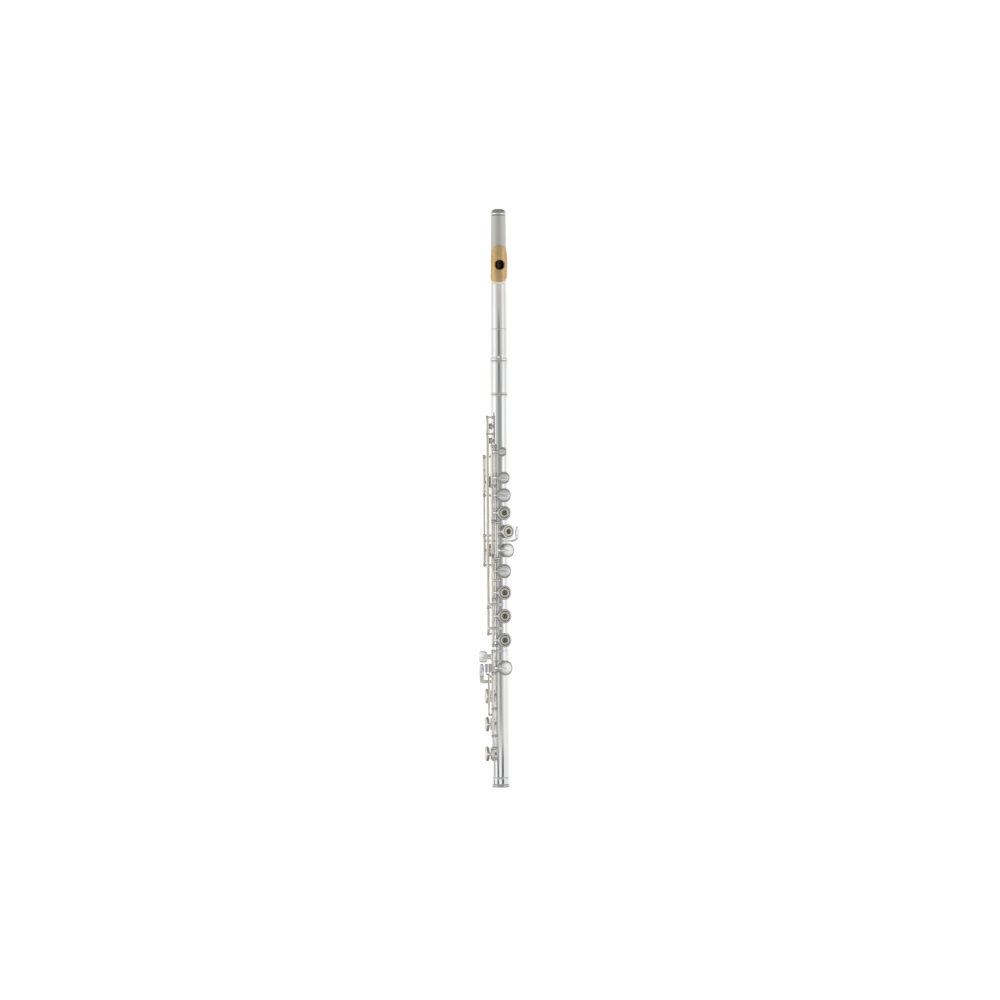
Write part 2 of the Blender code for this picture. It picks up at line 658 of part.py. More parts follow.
def make_body_keys(workshop):
    """The keys that turn on the body's hinge lines."""
    d, e, f, f_sharp, shake, a, b_flat, c = spans(MAIN_POSTS, MAIN_SPLITS)
    (g,) = spans(G_POSTS)
    lower_trill, middle_trill, upper_trill = spans(TRILL_POSTS)
    g_sharp, _, thumb_b, thumb_flat = spans(THUMB_POSTS, THUMB_SPLITS)
    base = BODY_BASE
    plans = [
        KeyPlan("c_key", MAIN_LINE, c, base, ["c", "c_sharp"], OPEN_STAND, pads={"c": "c_key_pad"}),
        KeyPlan("b_flat_key", MAIN_LINE, b_flat, base, ["b_flat"], OPEN_STAND),
        KeyPlan("a_key", MAIN_LINE, a, base, ["a"], OPEN_STAND, ["a"]),
        KeyPlan("g_key", G_LINE, g, base, ["g_upper", "g_lower"], OPEN_STAND, ["g_upper"]),
        KeyPlan("f_sharp_key", MAIN_LINE, f_sharp, base, ["f_sharp"], OPEN_STAND),
        KeyPlan("f_key", MAIN_LINE, f, base, ["f"], OPEN_STAND, ["f"]),
        KeyPlan("e_key", MAIN_LINE, e, base, ["e"], OPEN_STAND, ["e"]),
        KeyPlan("d_key", MAIN_LINE, d, base, ["d"], OPEN_STAND, ["d"]),
        KeyPlan("g_sharp_key", THUMB_LINE, g_sharp, base, ["g_sharp"], extra=g_sharp_lever()),
        KeyPlan("b_flat_shake_lever", MAIN_LINE, shake, base, [], extra=shake_lever()),
    ]
    thumb_z = base + BODY_HOLES["thumb_b"][0]
    wing = thumb_wing(thumb_z + 12.4, THUMB_TOUCH_ANGLES, CHIMNEY_TOP + 6.8, 12.0)
    plans.append(KeyPlan("thumb_b_key", THUMB_LINE, thumb_b, base, ["thumb_b"], THUMB_STAND, extra=wing))
    wing = thumb_wing(base + THUMB_POSTS[-1] - 6.5, THUMB_TOUCH_ANGLES, CHIMNEY_TOP + 7.2, 11.0)
    plans.append(KeyPlan("thumb_b_flat_lever", THUMB_LINE, thumb_flat, base, [], THUMB_STAND, extra=wing))

    touch_gap = (BODY_HOLES["e"][0] + BODY_HOLES["f"][0]) / 2
    extra = trill_touch(base + touch_gap)
    plans.append(KeyPlan("d_trill_key", TRILL_LINE, middle_trill, base, ["d_trill"], extra=extra))

    touch_gap = (BODY_HOLES["d"][0] + BODY_HOLES["e"][0]) / 2
    extra = trill_touch(base + touch_gap)
    extra.append(hinge_tube(TRILL_LINE, lower_trill, base))
    low, high = base + TRILL_POSTS[0] - STEEL_END, base + TRILL_POSTS[-1] + STEEL_END
    extra.append(rod(STEEL_RADIUS, low, high, HINGE_SIDES, upright(polar(*TRILL_LINE, 0))))
    plans.append(
        KeyPlan("d_sharp_trill_key", TRILL_LINE, upper_trill, base, ["d_sharp_trill"], extra=extra, solid=True)
    )
    for plan in plans:
        plan.make(workshop, BODY_HOLES)


def make_foot(workshop):
    """The footjoint: tube with its receiver, strap with posts, keys and rollers."""
    walls, bores = chimneys(FOOT_HOLES, 0)
    tube = rod(TUBE_RADIUS, 0, FOOT_LENGTH, TUBE_SIDES)
    socket = TUBE_RADIUS + SLIP
    receiver_low = BODY_BASE - 1.2
    receiver = rod(socket + RECEIVER_WALL, receiver_low, FOOT_LENGTH, TUBE_SIDES)
    ring = turned([(TUBE_RADIUS + END_RING[0], 0), (TUBE_RADIUS + END_RING[0], END_RING[1])], TUBE_SIDES)
    cuts = [rod(BORE_RADIUS, -5, FOOT_LENGTH + 5, TUBE_SIDES)] + bores
    cuts.append(rod(socket, BODY_BASE - SEAT, FOOT_LENGTH + 5, TUBE_SIDES))
    workshop.piece("foot_tube", [tube, receiver, ring] + walls, workshop.silver, cuts)

    inner = TUBE_RADIUS + RIB_GAP
    raised = socket + RECEIVER_WALL + RIB_GAP
    stations = [(FOOT_POSTS[0] - 4, inner), (receiver_low - 2, inner), (receiver_low - 0.6, raised)]
    stations.append((FOOT_POSTS[-1] + 2.6, raised))
    shapes = [strap((48.0, 60.0), stations, 2)]
    cuts = []
    add_posts(shapes, cuts, FOOT_LINE, FOOT_POSTS)
    workshop.piece("foot_rib", shapes, workshop.silver, cuts)
    steel(workshop, "foot_steel", FOOT_LINE, FOOT_POSTS[4] + 0.7, FOOT_POSTS[-1] + 1.8, 0)


def roller_frame(place):
    (centre,) = from_line(FOOT_LINE, [(*place, 0)])
    return upright(centre)


def roller_axle(place, low):
    high = ROLLERS_AT + ROLLER_LENGTH / 2 - ROLLER_CAP - SEAT
    return rod(ROLLER_AXLE, low, high, 8, roller_frame(place))


def make_roller(workshop, name, place, axis):
    """A capped roller that turns on an axle parallel to the tube."""
    bore = ROLLER_AXLE + SEAT
    low = ROLLERS_AT - ROLLER_LENGTH / 2
    high = low + ROLLER_LENGTH
    profile = [(0, high), (ROLLER_RADIUS, high), (ROLLER_RADIUS, low), (bore, low)]
    profile += [(bore, high - ROLLER_CAP), (0, high - ROLLER_CAP)]
    workshop.piece(name, [turned(profile, 12, roller_frame(place))], workshop.steel, (), axis)


def make_foot_keys(workshop):
    """D sharp, C sharp, C and B, which the right little finger works through plates and rollers."""
    b, _, c, c_sharp, b_hub, d_sharp = spans(FOOT_POSTS, (FOOT_SPLIT,))
    line = FOOT_LINE
    along = spot(TOUCH_ANGLE, 1, 0, 0)
    path = [(1.5, 0.5, D_SHARP_TOUCH_Z), (3.5, 1.1, D_SHARP_TOUCH_Z), (7.5, 0.5, D_SHARP_TOUCH_Z)]
    extra = [bar(from_line(line, path), (6.0, 6.0, 6.0), ARM_THICKNESS, (0, 0, 1))]
    extra.append(touch(line, 11.5, 0.5, D_SHARP_TOUCH_Z, 11.4, 13.7, 3.2))
    plans = [KeyPlan("foot_d_sharp_key", line, d_sharp, 0, ["foot_d_sharp"], extra=extra)]

    arm_z = FOOT_SPLIT - 3.9
    path = [(1.3, -0.9, arm_z), (5.5, -1.9, arm_z), (12.5, -1.5, arm_z)]
    extra = [bar(from_line(line, path), (3.6, 3.6, 4.4), ARM_THICKNESS, (0, 0, 1))]
    path = [(12.9, -1.5, arm_z - 1.1), (13.5, -0.5, arm_z + 7.5)]
    extra.append(bar(from_line(line, path), (4.6, 5.4), ARM_THICKNESS, along))
    extra.append(touch(line, 13.5, 0.1, arm_z + 13.5, 6.2, 16.4, 2.6))
    plans.append(KeyPlan("foot_c_sharp_key", line, c_sharp, 0, ["foot_c_sharp"], OPEN_STAND, extra=extra))

    low = ROLLERS_AT - ROLLER_LENGTH / 2 - 3.6
    start = c[1] - 4
    path = [(1.3, 1.1, start), (5.1, 2.9, start + 2), (5.3, 2.9, arm_z + 4.5), (*C_ROLLER, low + 1.2)]
    extra = [bar(from_line(line, path), (3.2, 2.8, 2.4, 2.4), ARM_THICKNESS, along), roller_axle(C_ROLLER, low)]
    plans.append(KeyPlan("foot_c_key", line, c, 0, ["foot_c"], OPEN_STAND, extra=extra))

    hub_z = (b_hub[0] + b_hub[1]) / 2
    path = [(0, 1.1, hub_z), (1.9, 1.9, hub_z), (*B_ROLLER, hub_z)]
    steel_ends = (FOOT_POSTS[0] - STEEL_END, FOOT_POSTS[4] + 0.3)
    extra = [
        bar(from_line(line, path), (3.0, 2.8, 2.8), ARM_THICKNESS, (0, 0, 1)),
        roller_axle(B_ROLLER, hub_z - 1.2),
        hinge_tube(line, b_hub, 0),
        rod(STEEL_RADIUS, *steel_ends, HINGE_SIDES, upright(polar(*line, 0))),
    ]
    plans.append(KeyPlan("foot_b_key", line, b, 0, ["foot_b"], OPEN_STAND, extra=extra, solid=True))
    axes = {plan.name: plan.make(workshop, FOOT_HOLES) for plan in plans}
    make_roller(workshop, "foot_c_roller", C_ROLLER, axes["foot_c_key"])
    make_roller(workshop, "foot_b_roller", B_ROLLER, axes["foot_b_key"])


def main():
    clear_scene()
    workshop = Workshop()
    make_head(workshop)
    make_body(workshop)
    make_body_keys(workshop)
    make_foot(workshop)
    make_foot_keys(workshop)


main()
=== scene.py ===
"""A concert flute in silver with a gold lip plate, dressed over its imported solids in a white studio.

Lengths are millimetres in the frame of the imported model: +Z runs up the bore from the foot's open
end, the row of keys faces -Y and the hinge rods lie on the -X side. Angles are degrees about +Z,
measured from -Y towards -X.
"""

import json
import logging
import math
from dataclasses import dataclass, field
from enum import Enum
from typing import Any, Iterable, Optional, Sequence

import bmesh
import bpy
from mathutils import Matrix, Vector

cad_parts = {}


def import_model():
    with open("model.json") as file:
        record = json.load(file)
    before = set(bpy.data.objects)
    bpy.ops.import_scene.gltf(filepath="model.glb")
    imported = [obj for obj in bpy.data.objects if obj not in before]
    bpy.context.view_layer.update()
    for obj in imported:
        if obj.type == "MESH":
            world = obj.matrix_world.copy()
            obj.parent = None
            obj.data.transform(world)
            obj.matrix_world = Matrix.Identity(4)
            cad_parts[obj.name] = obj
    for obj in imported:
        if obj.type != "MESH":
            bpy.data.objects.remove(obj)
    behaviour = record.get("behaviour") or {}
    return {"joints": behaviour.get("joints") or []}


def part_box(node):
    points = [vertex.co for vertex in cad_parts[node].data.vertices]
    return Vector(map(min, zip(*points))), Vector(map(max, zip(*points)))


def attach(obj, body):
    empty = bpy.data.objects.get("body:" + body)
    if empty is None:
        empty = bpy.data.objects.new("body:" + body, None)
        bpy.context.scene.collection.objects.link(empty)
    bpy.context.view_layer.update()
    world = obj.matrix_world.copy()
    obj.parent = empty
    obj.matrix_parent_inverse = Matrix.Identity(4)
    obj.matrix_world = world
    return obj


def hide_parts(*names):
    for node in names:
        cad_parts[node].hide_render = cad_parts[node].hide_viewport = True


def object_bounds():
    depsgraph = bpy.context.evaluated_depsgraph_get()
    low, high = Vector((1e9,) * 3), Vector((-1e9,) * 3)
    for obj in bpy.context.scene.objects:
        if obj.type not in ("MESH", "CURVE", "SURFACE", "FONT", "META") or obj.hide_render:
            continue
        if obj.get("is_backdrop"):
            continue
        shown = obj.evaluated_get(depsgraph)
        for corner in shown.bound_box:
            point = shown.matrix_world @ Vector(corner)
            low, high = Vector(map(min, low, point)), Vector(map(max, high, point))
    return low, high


LOG = logging.getLogger("flute")
MM = 0.001
Outline = list[tuple[float, float]]
Colour = tuple[float, float, float]
Levels = tuple[tuple[float, float], ...]
Mesh = bmesh.types.BMesh
Socket = bpy.types.NodeSocket


UP = Vector((0, 0, 1))


# ---- places


def spot(angle: float, side: float, height: float, z: float) -> Vector:
    """Finds a point beside the line that leaves the bore's axis at an angle.

    Args:
        angle: Which way the line leaves the axis.
        side: How far across from the line, growing with the angle.
        height: How far out along the line.
        z: How far up the bore.

    Returns:
        The point, in millimetres.
    """
    turn = math.radians(angle)
    out = Vector((-math.sin(turn), -math.cos(turn), 0))
    across = Vector((-math.cos(turn), math.sin(turn), 0))
    return out * height + across * side + Vector((0, 0, z))


def radial_frame(angle: float, z: float) -> Matrix:
    """Makes the frame of something that stands out of the tube.

    Args:
        angle: Which way it stands.
        z: How far up the bore.

    Returns:
        A matrix that takes local X across the tube, local Y up it and local Z outwards.
    """
    frame = Matrix.Identity(4)
    axes = (spot(angle, 1, 0, 0), UP, spot(angle, 0, 1, 0), spot(angle, 0, 0, z))
    for column, axis in enumerate(axes):
        frame.col[column][:3] = axis
    return frame


@dataclass(frozen=True)
class Line:
    """A hinge line that runs up the tube."""

    angle: float
    radius: float

    @classmethod
    def of_joint(cls, joints: Sequence[dict], name: str) -> "Line":
        """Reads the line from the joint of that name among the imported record's joints."""
        joint = next(joint for joint in joints if joint["name"] == name)
        x, y = (value / MM for value in joint["pos_m"][:2])
        return cls(math.degrees(math.atan2(-x, -y)), math.hypot(x, y))

    def at(self, z: float) -> Vector:
        """The line's point at one height."""
        return spot(self.angle, 0, self.radius, z)

    def beside(self, facing: float, across: float, out: float, z: float) -> Vector:
        """Finds a point measured from the line.

        Args:
            facing: The angle that a touch beside the line faces.
            across: How far across from the line in that frame.
            out: How far out from the line in that frame.
            z: How far up the bore.

        Returns:
            The point, in millimetres.
        """
        turn = math.radians(self.angle - facing)
        side, height = self.radius * math.sin(turn), self.radius * math.cos(turn)
        return spot(facing, side + across, height + out, z)

    def turned_by(self, degrees: float) -> Matrix:
        """The matrix that turns a closed key about the line."""
        turn = Matrix.Rotation(math.radians(degrees), 4, "Z")
        return Matrix.Translation(self.at(0)) @ turn @ Matrix.Translation(-self.at(0))


# ---- shapes


def rounded(
    corners: Sequence[tuple[float, float, float]], steps: int = 4, closed: bool = True
) -> Outline:
    """Softens the corners of an outline.

    Args:
        corners: The outline's corners as (radius, height, how much of the corner to round).
        steps: How many faces each rounded corner takes.
        closed: Whether the outline comes back to its start.

    Returns:
        The outline's points.
    """
    most_of_side = 0.48
    found: Outline = []
    count = len(corners)
    for i, (radius, height, soft) in enumerate(corners):
        corner = Vector((radius, height))
        if not soft or (not closed and i in (0, count - 1)):
            found.append((radius, height))
            continue
        before = Vector(corners[i - 1][:2]) - corner
        after = Vector(corners[(i + 1) % count][:2]) - corner
        start = corner + before.normalized() * min(soft, before.length * most_of_side)
        end = corner + after.normalized() * min(soft, after.length * most_of_side)
        for step in range(steps + 1):
            t = step / steps
            found.append(tuple(start * (1 - t) ** 2 + corner * 2 * t * (1 - t) + end * t**2))
    return found


def skin(rings: Sequence[Sequence[Vector]], closed: bool = False) -> Mesh:
    """Stretches a surface over rings of points.

    Args:
        rings: The rings, each of as many points as the others. A ring of one point is a pole.
        closed: Whether the last ring joins the first. Otherwise open ends are capped.

    Returns:
        A closed mesh in metres.
    """
    mesh = bmesh.new()
    loops = [[mesh.verts.new(point * MM) for point in ring] for ring in rings]
    pairs = list(zip(loops, loops[1:])) + ([(loops[-1], loops[0])] if closed else [])
    for low, high in pairs:
        count = max(len(low), len(high))
        for i in range(count):
            j = (i + 1) % count
            if len(low) == 1:
                mesh.faces.new((low[0], high[j], high[i]))
            elif len(high) == 1:
                mesh.faces.new((low[i], low[j], high[0]))
            else:
                mesh.faces.new((low[i], low[j], high[j], high[i]))
    if not closed:
        for loop in (loops[0], loops[-1]):
            if len(loop) > 1:
                mesh.faces.new(loop)
    bmesh.ops.recalc_face_normals(mesh, faces=mesh.faces)
    return mesh


def held(outline: Outline, closed: bool, margin: float = 0.4, longest: float = 2.0) -> Outline:
    """Adds points near the ends of long runs, so that soft corners don't bend the light along them.

    Args:
        outline: Points of (radius, height).
        closed: Whether the outline comes back to its start.
        margin: How far from a corner a point is added.
        longest: Runs up to this long stay as they are.

    Returns:
        The outline with its extra points.
    """
    found: Outline = []
    count = len(outline)
    for i, (radius, height) in enumerate(outline):
        found.append((radius, height))
        if i == count - 1 and not closed:
            break
        following = outline[(i + 1) % count]
        wider, higher = following[0] - radius, following[1] - height
        length = math.hypot(wider, higher)
        if length <= longest:
            continue
        for share in (margin / length, 1 - margin / length):
            found.append((radius + wider * share, height + higher * share))
    return found


def turned(
    outline: Outline, sides: int, frame: Matrix = Matrix.Identity(4), closed: bool = False
) -> Mesh:
    """Turns an outline about the local Z axis of a frame.

    Args:
        outline: Points of (radius, height).
        sides: How many sides the round has.
        frame: Where the axis lies.
        closed: Whether the outline is a closed loop, which makes a ring.

    Returns:
        A closed mesh in metres.
    """
    rings = []
    for radius, height in held(outline, closed):
        count = sides if radius > 0 else 1
        ring = []
        for i in range(count):
            turn = 2 * math.pi * i / sides
            ring.append(frame @ Vector((radius * math.cos(turn), radius * math.sin(turn), height)))
        rings.append(ring)
    return skin(rings, closed)


def drum(radius: float, low: float, high: float, sides: int, frame: Matrix) -> Mesh:
    """Makes a plain cylinder about the local Z axis of a frame."""
    return turned([(0, low), (radius, low), (radius, high), (0, high)], sides, frame)


def oval(turn: float, across: float, along: float, power: float) -> tuple[float, float]:
    """Finds a point on an oval with squared corners.

    Args:
        turn: How far round the oval the point is, in radians.
        across: Half of its width.
        along: Half of its length.
        power: How square its corners are: 1 is an ellipse, and less is squarer.

    Returns:
        The point's place across and along.
    """
    x = math.copysign(abs(math.cos(turn)) ** power, math.cos(turn))
    y = math.copysign(abs(math.sin(turn)) ** power, math.sin(turn))
    return x * across, y * along


def smooth_path(
    points: Sequence[Vector], values: Sequence[float], steps: int = 6
) -> list[tuple[Vector, float]]:
    """Runs a smooth curve through points, with a value that follows it.

    Args:
        points: The points to pass through.
        values: One value for each point.
        steps: How many steps to take from one point to the next.

    Returns:
        Pairs of point and value along the curve.
    """
    found = []
    last = len(points) - 1
    for i in range(last):
        a, b, c, d = (points[min(max(k, 0), last)] for k in (i - 1, i, i + 1, i + 2))
        for step in range(steps):
            t = step / steps
            place = b + (c - a) * t / 2 + (a * 2 - b * 5 + c * 4 - d) * t**2 / 2
            place += (b * 3 - a - c * 3 + d) * t**3 / 2
            found.append((place, values[i] + (values[i + 1] - values[i]) * t))
    return found + [(points[-1], values[-1])]


def strip(
    points: Sequence[Vector],
    widths: Sequence[float],
    thickness: float,
    side: Vector,
    square: float = 3.2,
) -> Mesh:
    """Makes a smooth arm with a soft-cornered section and closed, rounded ends.

    Args:
        points: The points that its middle passes through.
        widths: Its width at each of them.
        thickness: Its thickness.
        side: The direction that its width lies along.
        square: How square its section is: 2 is an ellipse.

    Returns:
        A closed mesh in metres.
    """
    side = Vector(side).normalized()
    path = smooth_path(points, widths)
    sides = 16
    narrowing = (0.0, 0.55, 0.85)
    reach = thickness * 0.25
    rings = []
    last = len(path) - 1
    for i, (point, width) in enumerate(path):
        ahead = (path[min(i + 1, last)][0] - path[max(i - 1, 0)][0]).normalized()
        face = ahead.cross(side).normalized()
        section = []
        for k in range(sides):
            turn = 2 * math.pi * (k + 0.5) / sides
            x, y = oval(turn, width / 2, thickness / 2, 2 / square)
            section.append(side * x + face * y)
        shares = [1.0]
        if i == 0:
            shares = [*narrowing, 1.0]
        elif i == last:
            shares = [1.0, *reversed(narrowing)]
        for share in shares:
            centre = point + ahead * (1 - share) * (reach if i == last else -reach)
            rings.append([centre + part * share for part in section] if share else [centre])
    return skin(rings)


def leaf(
    centre: Vector,
    across: float,
    along: float,
    thickness: float,
    angle: float,
    square: float,
    dish: float,
) -> Mesh:
    """Makes a touch plate with a soft edge and a slightly hollowed or crowned face.

    Args:
        centre: The middle of the plate.
        across: Its width.
        along: Its length up the tube.
        thickness: Its thickness.
        angle: The way that it faces.
        square: How square its outline is.
        dish: How far its middle stands above its edge.

    Returns:
        A closed mesh in metres.
    """
    turn_to = radial_frame(angle, 0).to_3x3()
    half = thickness / 2
    sides = 48
    layers = [(0, -half), (0.6, -half), (0.9, -half), (0.975, -half * 0.8), (1, -half * 0.3)]
    layers += [(1, half * 0.3), (0.98, half * 0.72), (0.93, half), (0.8, half + dish * 0.35)]
    layers += [(0.5, half + dish * 0.8), (0, half + dish)]
    rings = []
    for share, lift in layers:
        ring = []
        for i in range(sides if share else 1):
            turn = 2 * math.pi * (i + 0.5) / sides
            x, y = oval(turn, across / 2 * share, along / 2 * share, 2 / square)
            ring.append(centre + turn_to @ Vector((x, y, lift)))
        rings.append(ring)
    return skin(rings)


def strap(
    angles: tuple[float, float], stations: Sequence[tuple[float, float]], thickness: float
) -> Mesh:
    """Makes a strap that lies along the tube between two angles.

    Args:
        angles: Its two edges.
        stations: Points of (height, inner radius) along it.
        thickness: Its thickness.

    Returns:
        A closed mesh in metres.
    """
    steps = 14
    inset = 0.22
    turns = [angles[0] + (angles[1] - angles[0]) * i / steps for i in range(steps + 1)]
    rings = []
    for height, radius in stations:
        soft = math.degrees(inset / radius)
        inner = [spot(turn, 0, radius, height) for turn in turns]
        top = [turns[-1] - soft, *reversed(turns[1:-1]), turns[0] + soft]
        outer = [spot(turn, 0, radius + thickness, height) for turn in top]
        edges = [spot(turns[i], 0, radius + thickness - inset, height) for i in (-1, 0)]
        rings.append([*inner, edges[0], *outer, edges[1]])
    return skin(rings)


def chimney(
    frame: Matrix, across: float, along: float, wall: float, top: float, tube: float, bead: float
) -> Mesh:
    """Makes a chimney drawn up out of a round tube, with a flared foot and a rolled rim.

    Args:
        frame: Local Z points outwards through its middle, with the origin on the tube's axis.
        across: Half of its opening across the tube.
        along: Half of its opening along the tube.
        wall: Its wall.
        top: The height of its rim over the axis.
        tube: The tube's outer radius.
        bead: How far the rim rolls outwards.

    Returns:
        A closed ring in metres.
    """
    sides = 64
    flare = 1.3
    sunk = 0.06
    root = -0.9
    rings = []
    for i in range(sides):
        turn = 2 * math.pi * i / sides
        x, y = math.cos(turn), math.sin(turn)

        def surface(extra: float, lift: float) -> float:
            """The tube's height this far outside the opening, plus a lift."""
            reach = min(abs(x) * (across + extra), tube * 0.995)
            return math.sqrt(tube**2 - reach**2) + lift

        def place(extra: float, height: float) -> Vector:
            """A point this far outside the opening at one height."""
            return frame @ Vector((x * (across + extra), y * (along + extra), height))

        ring = []
        for step in range(6):
            t = step / 5 * math.pi / 2
            out = wall + flare * (1 - math.sin(t))
            ring.append(place(out, surface(out, -sunk + (flare + sunk) * (1 - math.cos(t)))))
        for step in range(9):
            roll = -math.pi / 2 + math.pi * step / 8
            radius = (wall + bead) / 2
            out, height = radius * math.cos(roll), radius * math.sin(roll)
            ring.append(place(radius + out, top - radius + height))
        ring.append(place(0, surface(0, root)))
        ring.append(place(wall, surface(wall, root)))
        rings.append(ring)
    return skin(rings, closed=True)


# ---- node trees


class Graph:
    """A small helper that adds nodes to a tree and links them."""

    def __init__(self, tree: bpy.types.NodeTree) -> None:
        """Takes the tree and clears it."""
        self.tree = tree
        tree.nodes.clear()

    def node(self, kind: str, inputs: Optional[dict] = None, **settings: Any) -> bpy.types.Node:
        """Adds a node.

        Args:
            kind: The node's type name.
            inputs: What goes into each named or numbered input: a socket to link, or a value.
            **settings: Properties of the node itself.

        Returns:
            The node.
        """
        made = self.tree.nodes.new(kind)
        for key, value in settings.items():
            setattr(made, key, value)
        for key, value in (inputs or {}).items():
            self.feed(made.inputs[key], value)
        return made

    def feed(self, socket: Socket, value: Any) -> None:
        """Links a socket to an input, or sets the input's value.

        Args:
            socket: The input.
            value: A socket to link to it, or its value.
        """
        if isinstance(value, Socket):
            self.tree.links.new(value, socket)
        else:
            socket.default_value = value

    def calc(self, operation: str, *values: Any) -> Socket:
        """Adds a Math node and returns its result."""
        made = self.node("ShaderNodeMath", dict(enumerate(values)), operation=operation)
        return made.outputs[0]

    def remap(self, value: Any, low: Any, high: Any, to_low: Any, to_high: Any) -> Socket:
        """Adds a clamped Map Range node and returns its result."""
        names = ("Value", "From Min", "From Max", "To Min", "To Max")
        inputs = dict(zip(names, (value, low, high, to_low, to_high)))
        return self.node("ShaderNodeMapRange", inputs).outputs["Result"]

    def mix(self, share: Any, first: Any, second: Any, blend: str = "MIX") -> Socket:
        """Adds a Mix node for colours.

        Args:
            share: How much of the second colour there is.
            first: The first colour: a socket, or its red, green, blue and alpha.
            second: The second colour.
            blend: How they are blended.

        Returns:
            The mixed colour.
        """
        made = self.node("ShaderNodeMix", {"Factor": share}, data_type="RGBA", blend_type=blend)
        first_in, second_in = (socket for socket in made.inputs if socket.type == "RGBA")
        self.feed(first_in, first)
        self.feed(second_in, second)
        return next(socket for socket in made.outputs if socket.type == "RGBA")

    def seen_white(self, unseen: Socket, white: Socket) -> Socket:
        """Shows the camera one shader and everything else another."""
        seen = self.node("ShaderNodeLightPath").outputs["Is Camera Ray"]
        return self.node("ShaderNodeMixShader", {0: seen, 1: unseen, 2: white}).outputs[0]

    def dress(self, geometry: Socket, material: Socket) -> None:
        """Ends a geometry tree: makes its instances real and sets their material.

        Args:
            geometry: What the tree has built.
            material: The material that it takes.
        """
        solid = self.node("GeometryNodeRealizeInstances", {"Geometry": geometry})
        inputs = {"Geometry": solid.outputs[0], "Material": material}
        dressed = self.node("GeometryNodeSetMaterial", inputs)
        self.node("NodeGroupOutput", {0: dressed.outputs[0]})


def tree_with(name: str, inputs: dict[str, str]) -> tuple[bpy.types.NodeTree, dict[str, str]]:
    """Makes a geometry tree with named inputs.

    Args:
        name: The tree's name.
        inputs: The kind of each named input.

    Returns:
        The tree, and the identifier of each input.
    """
    tree = bpy.data.node_groups.new(name, "GeometryNodeTree")
    keys = {}
    for title, kind in inputs.items():
        kind = "NodeSocket" + kind
        socket = tree.interface.new_socket(title, in_out="INPUT", socket_type=kind)
        keys[title] = socket.identifier
    tree.interface.new_socket("Result", in_out="OUTPUT", socket_type="NodeSocketGeometry")
    return tree, keys


class Slot(Enum):
    """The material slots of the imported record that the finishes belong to."""

    SILVER = "silver"
    GOLD = "gold"
    STEEL = "steel"
    PAD_SKIN = "pad_skin"
    CORK = "cork"


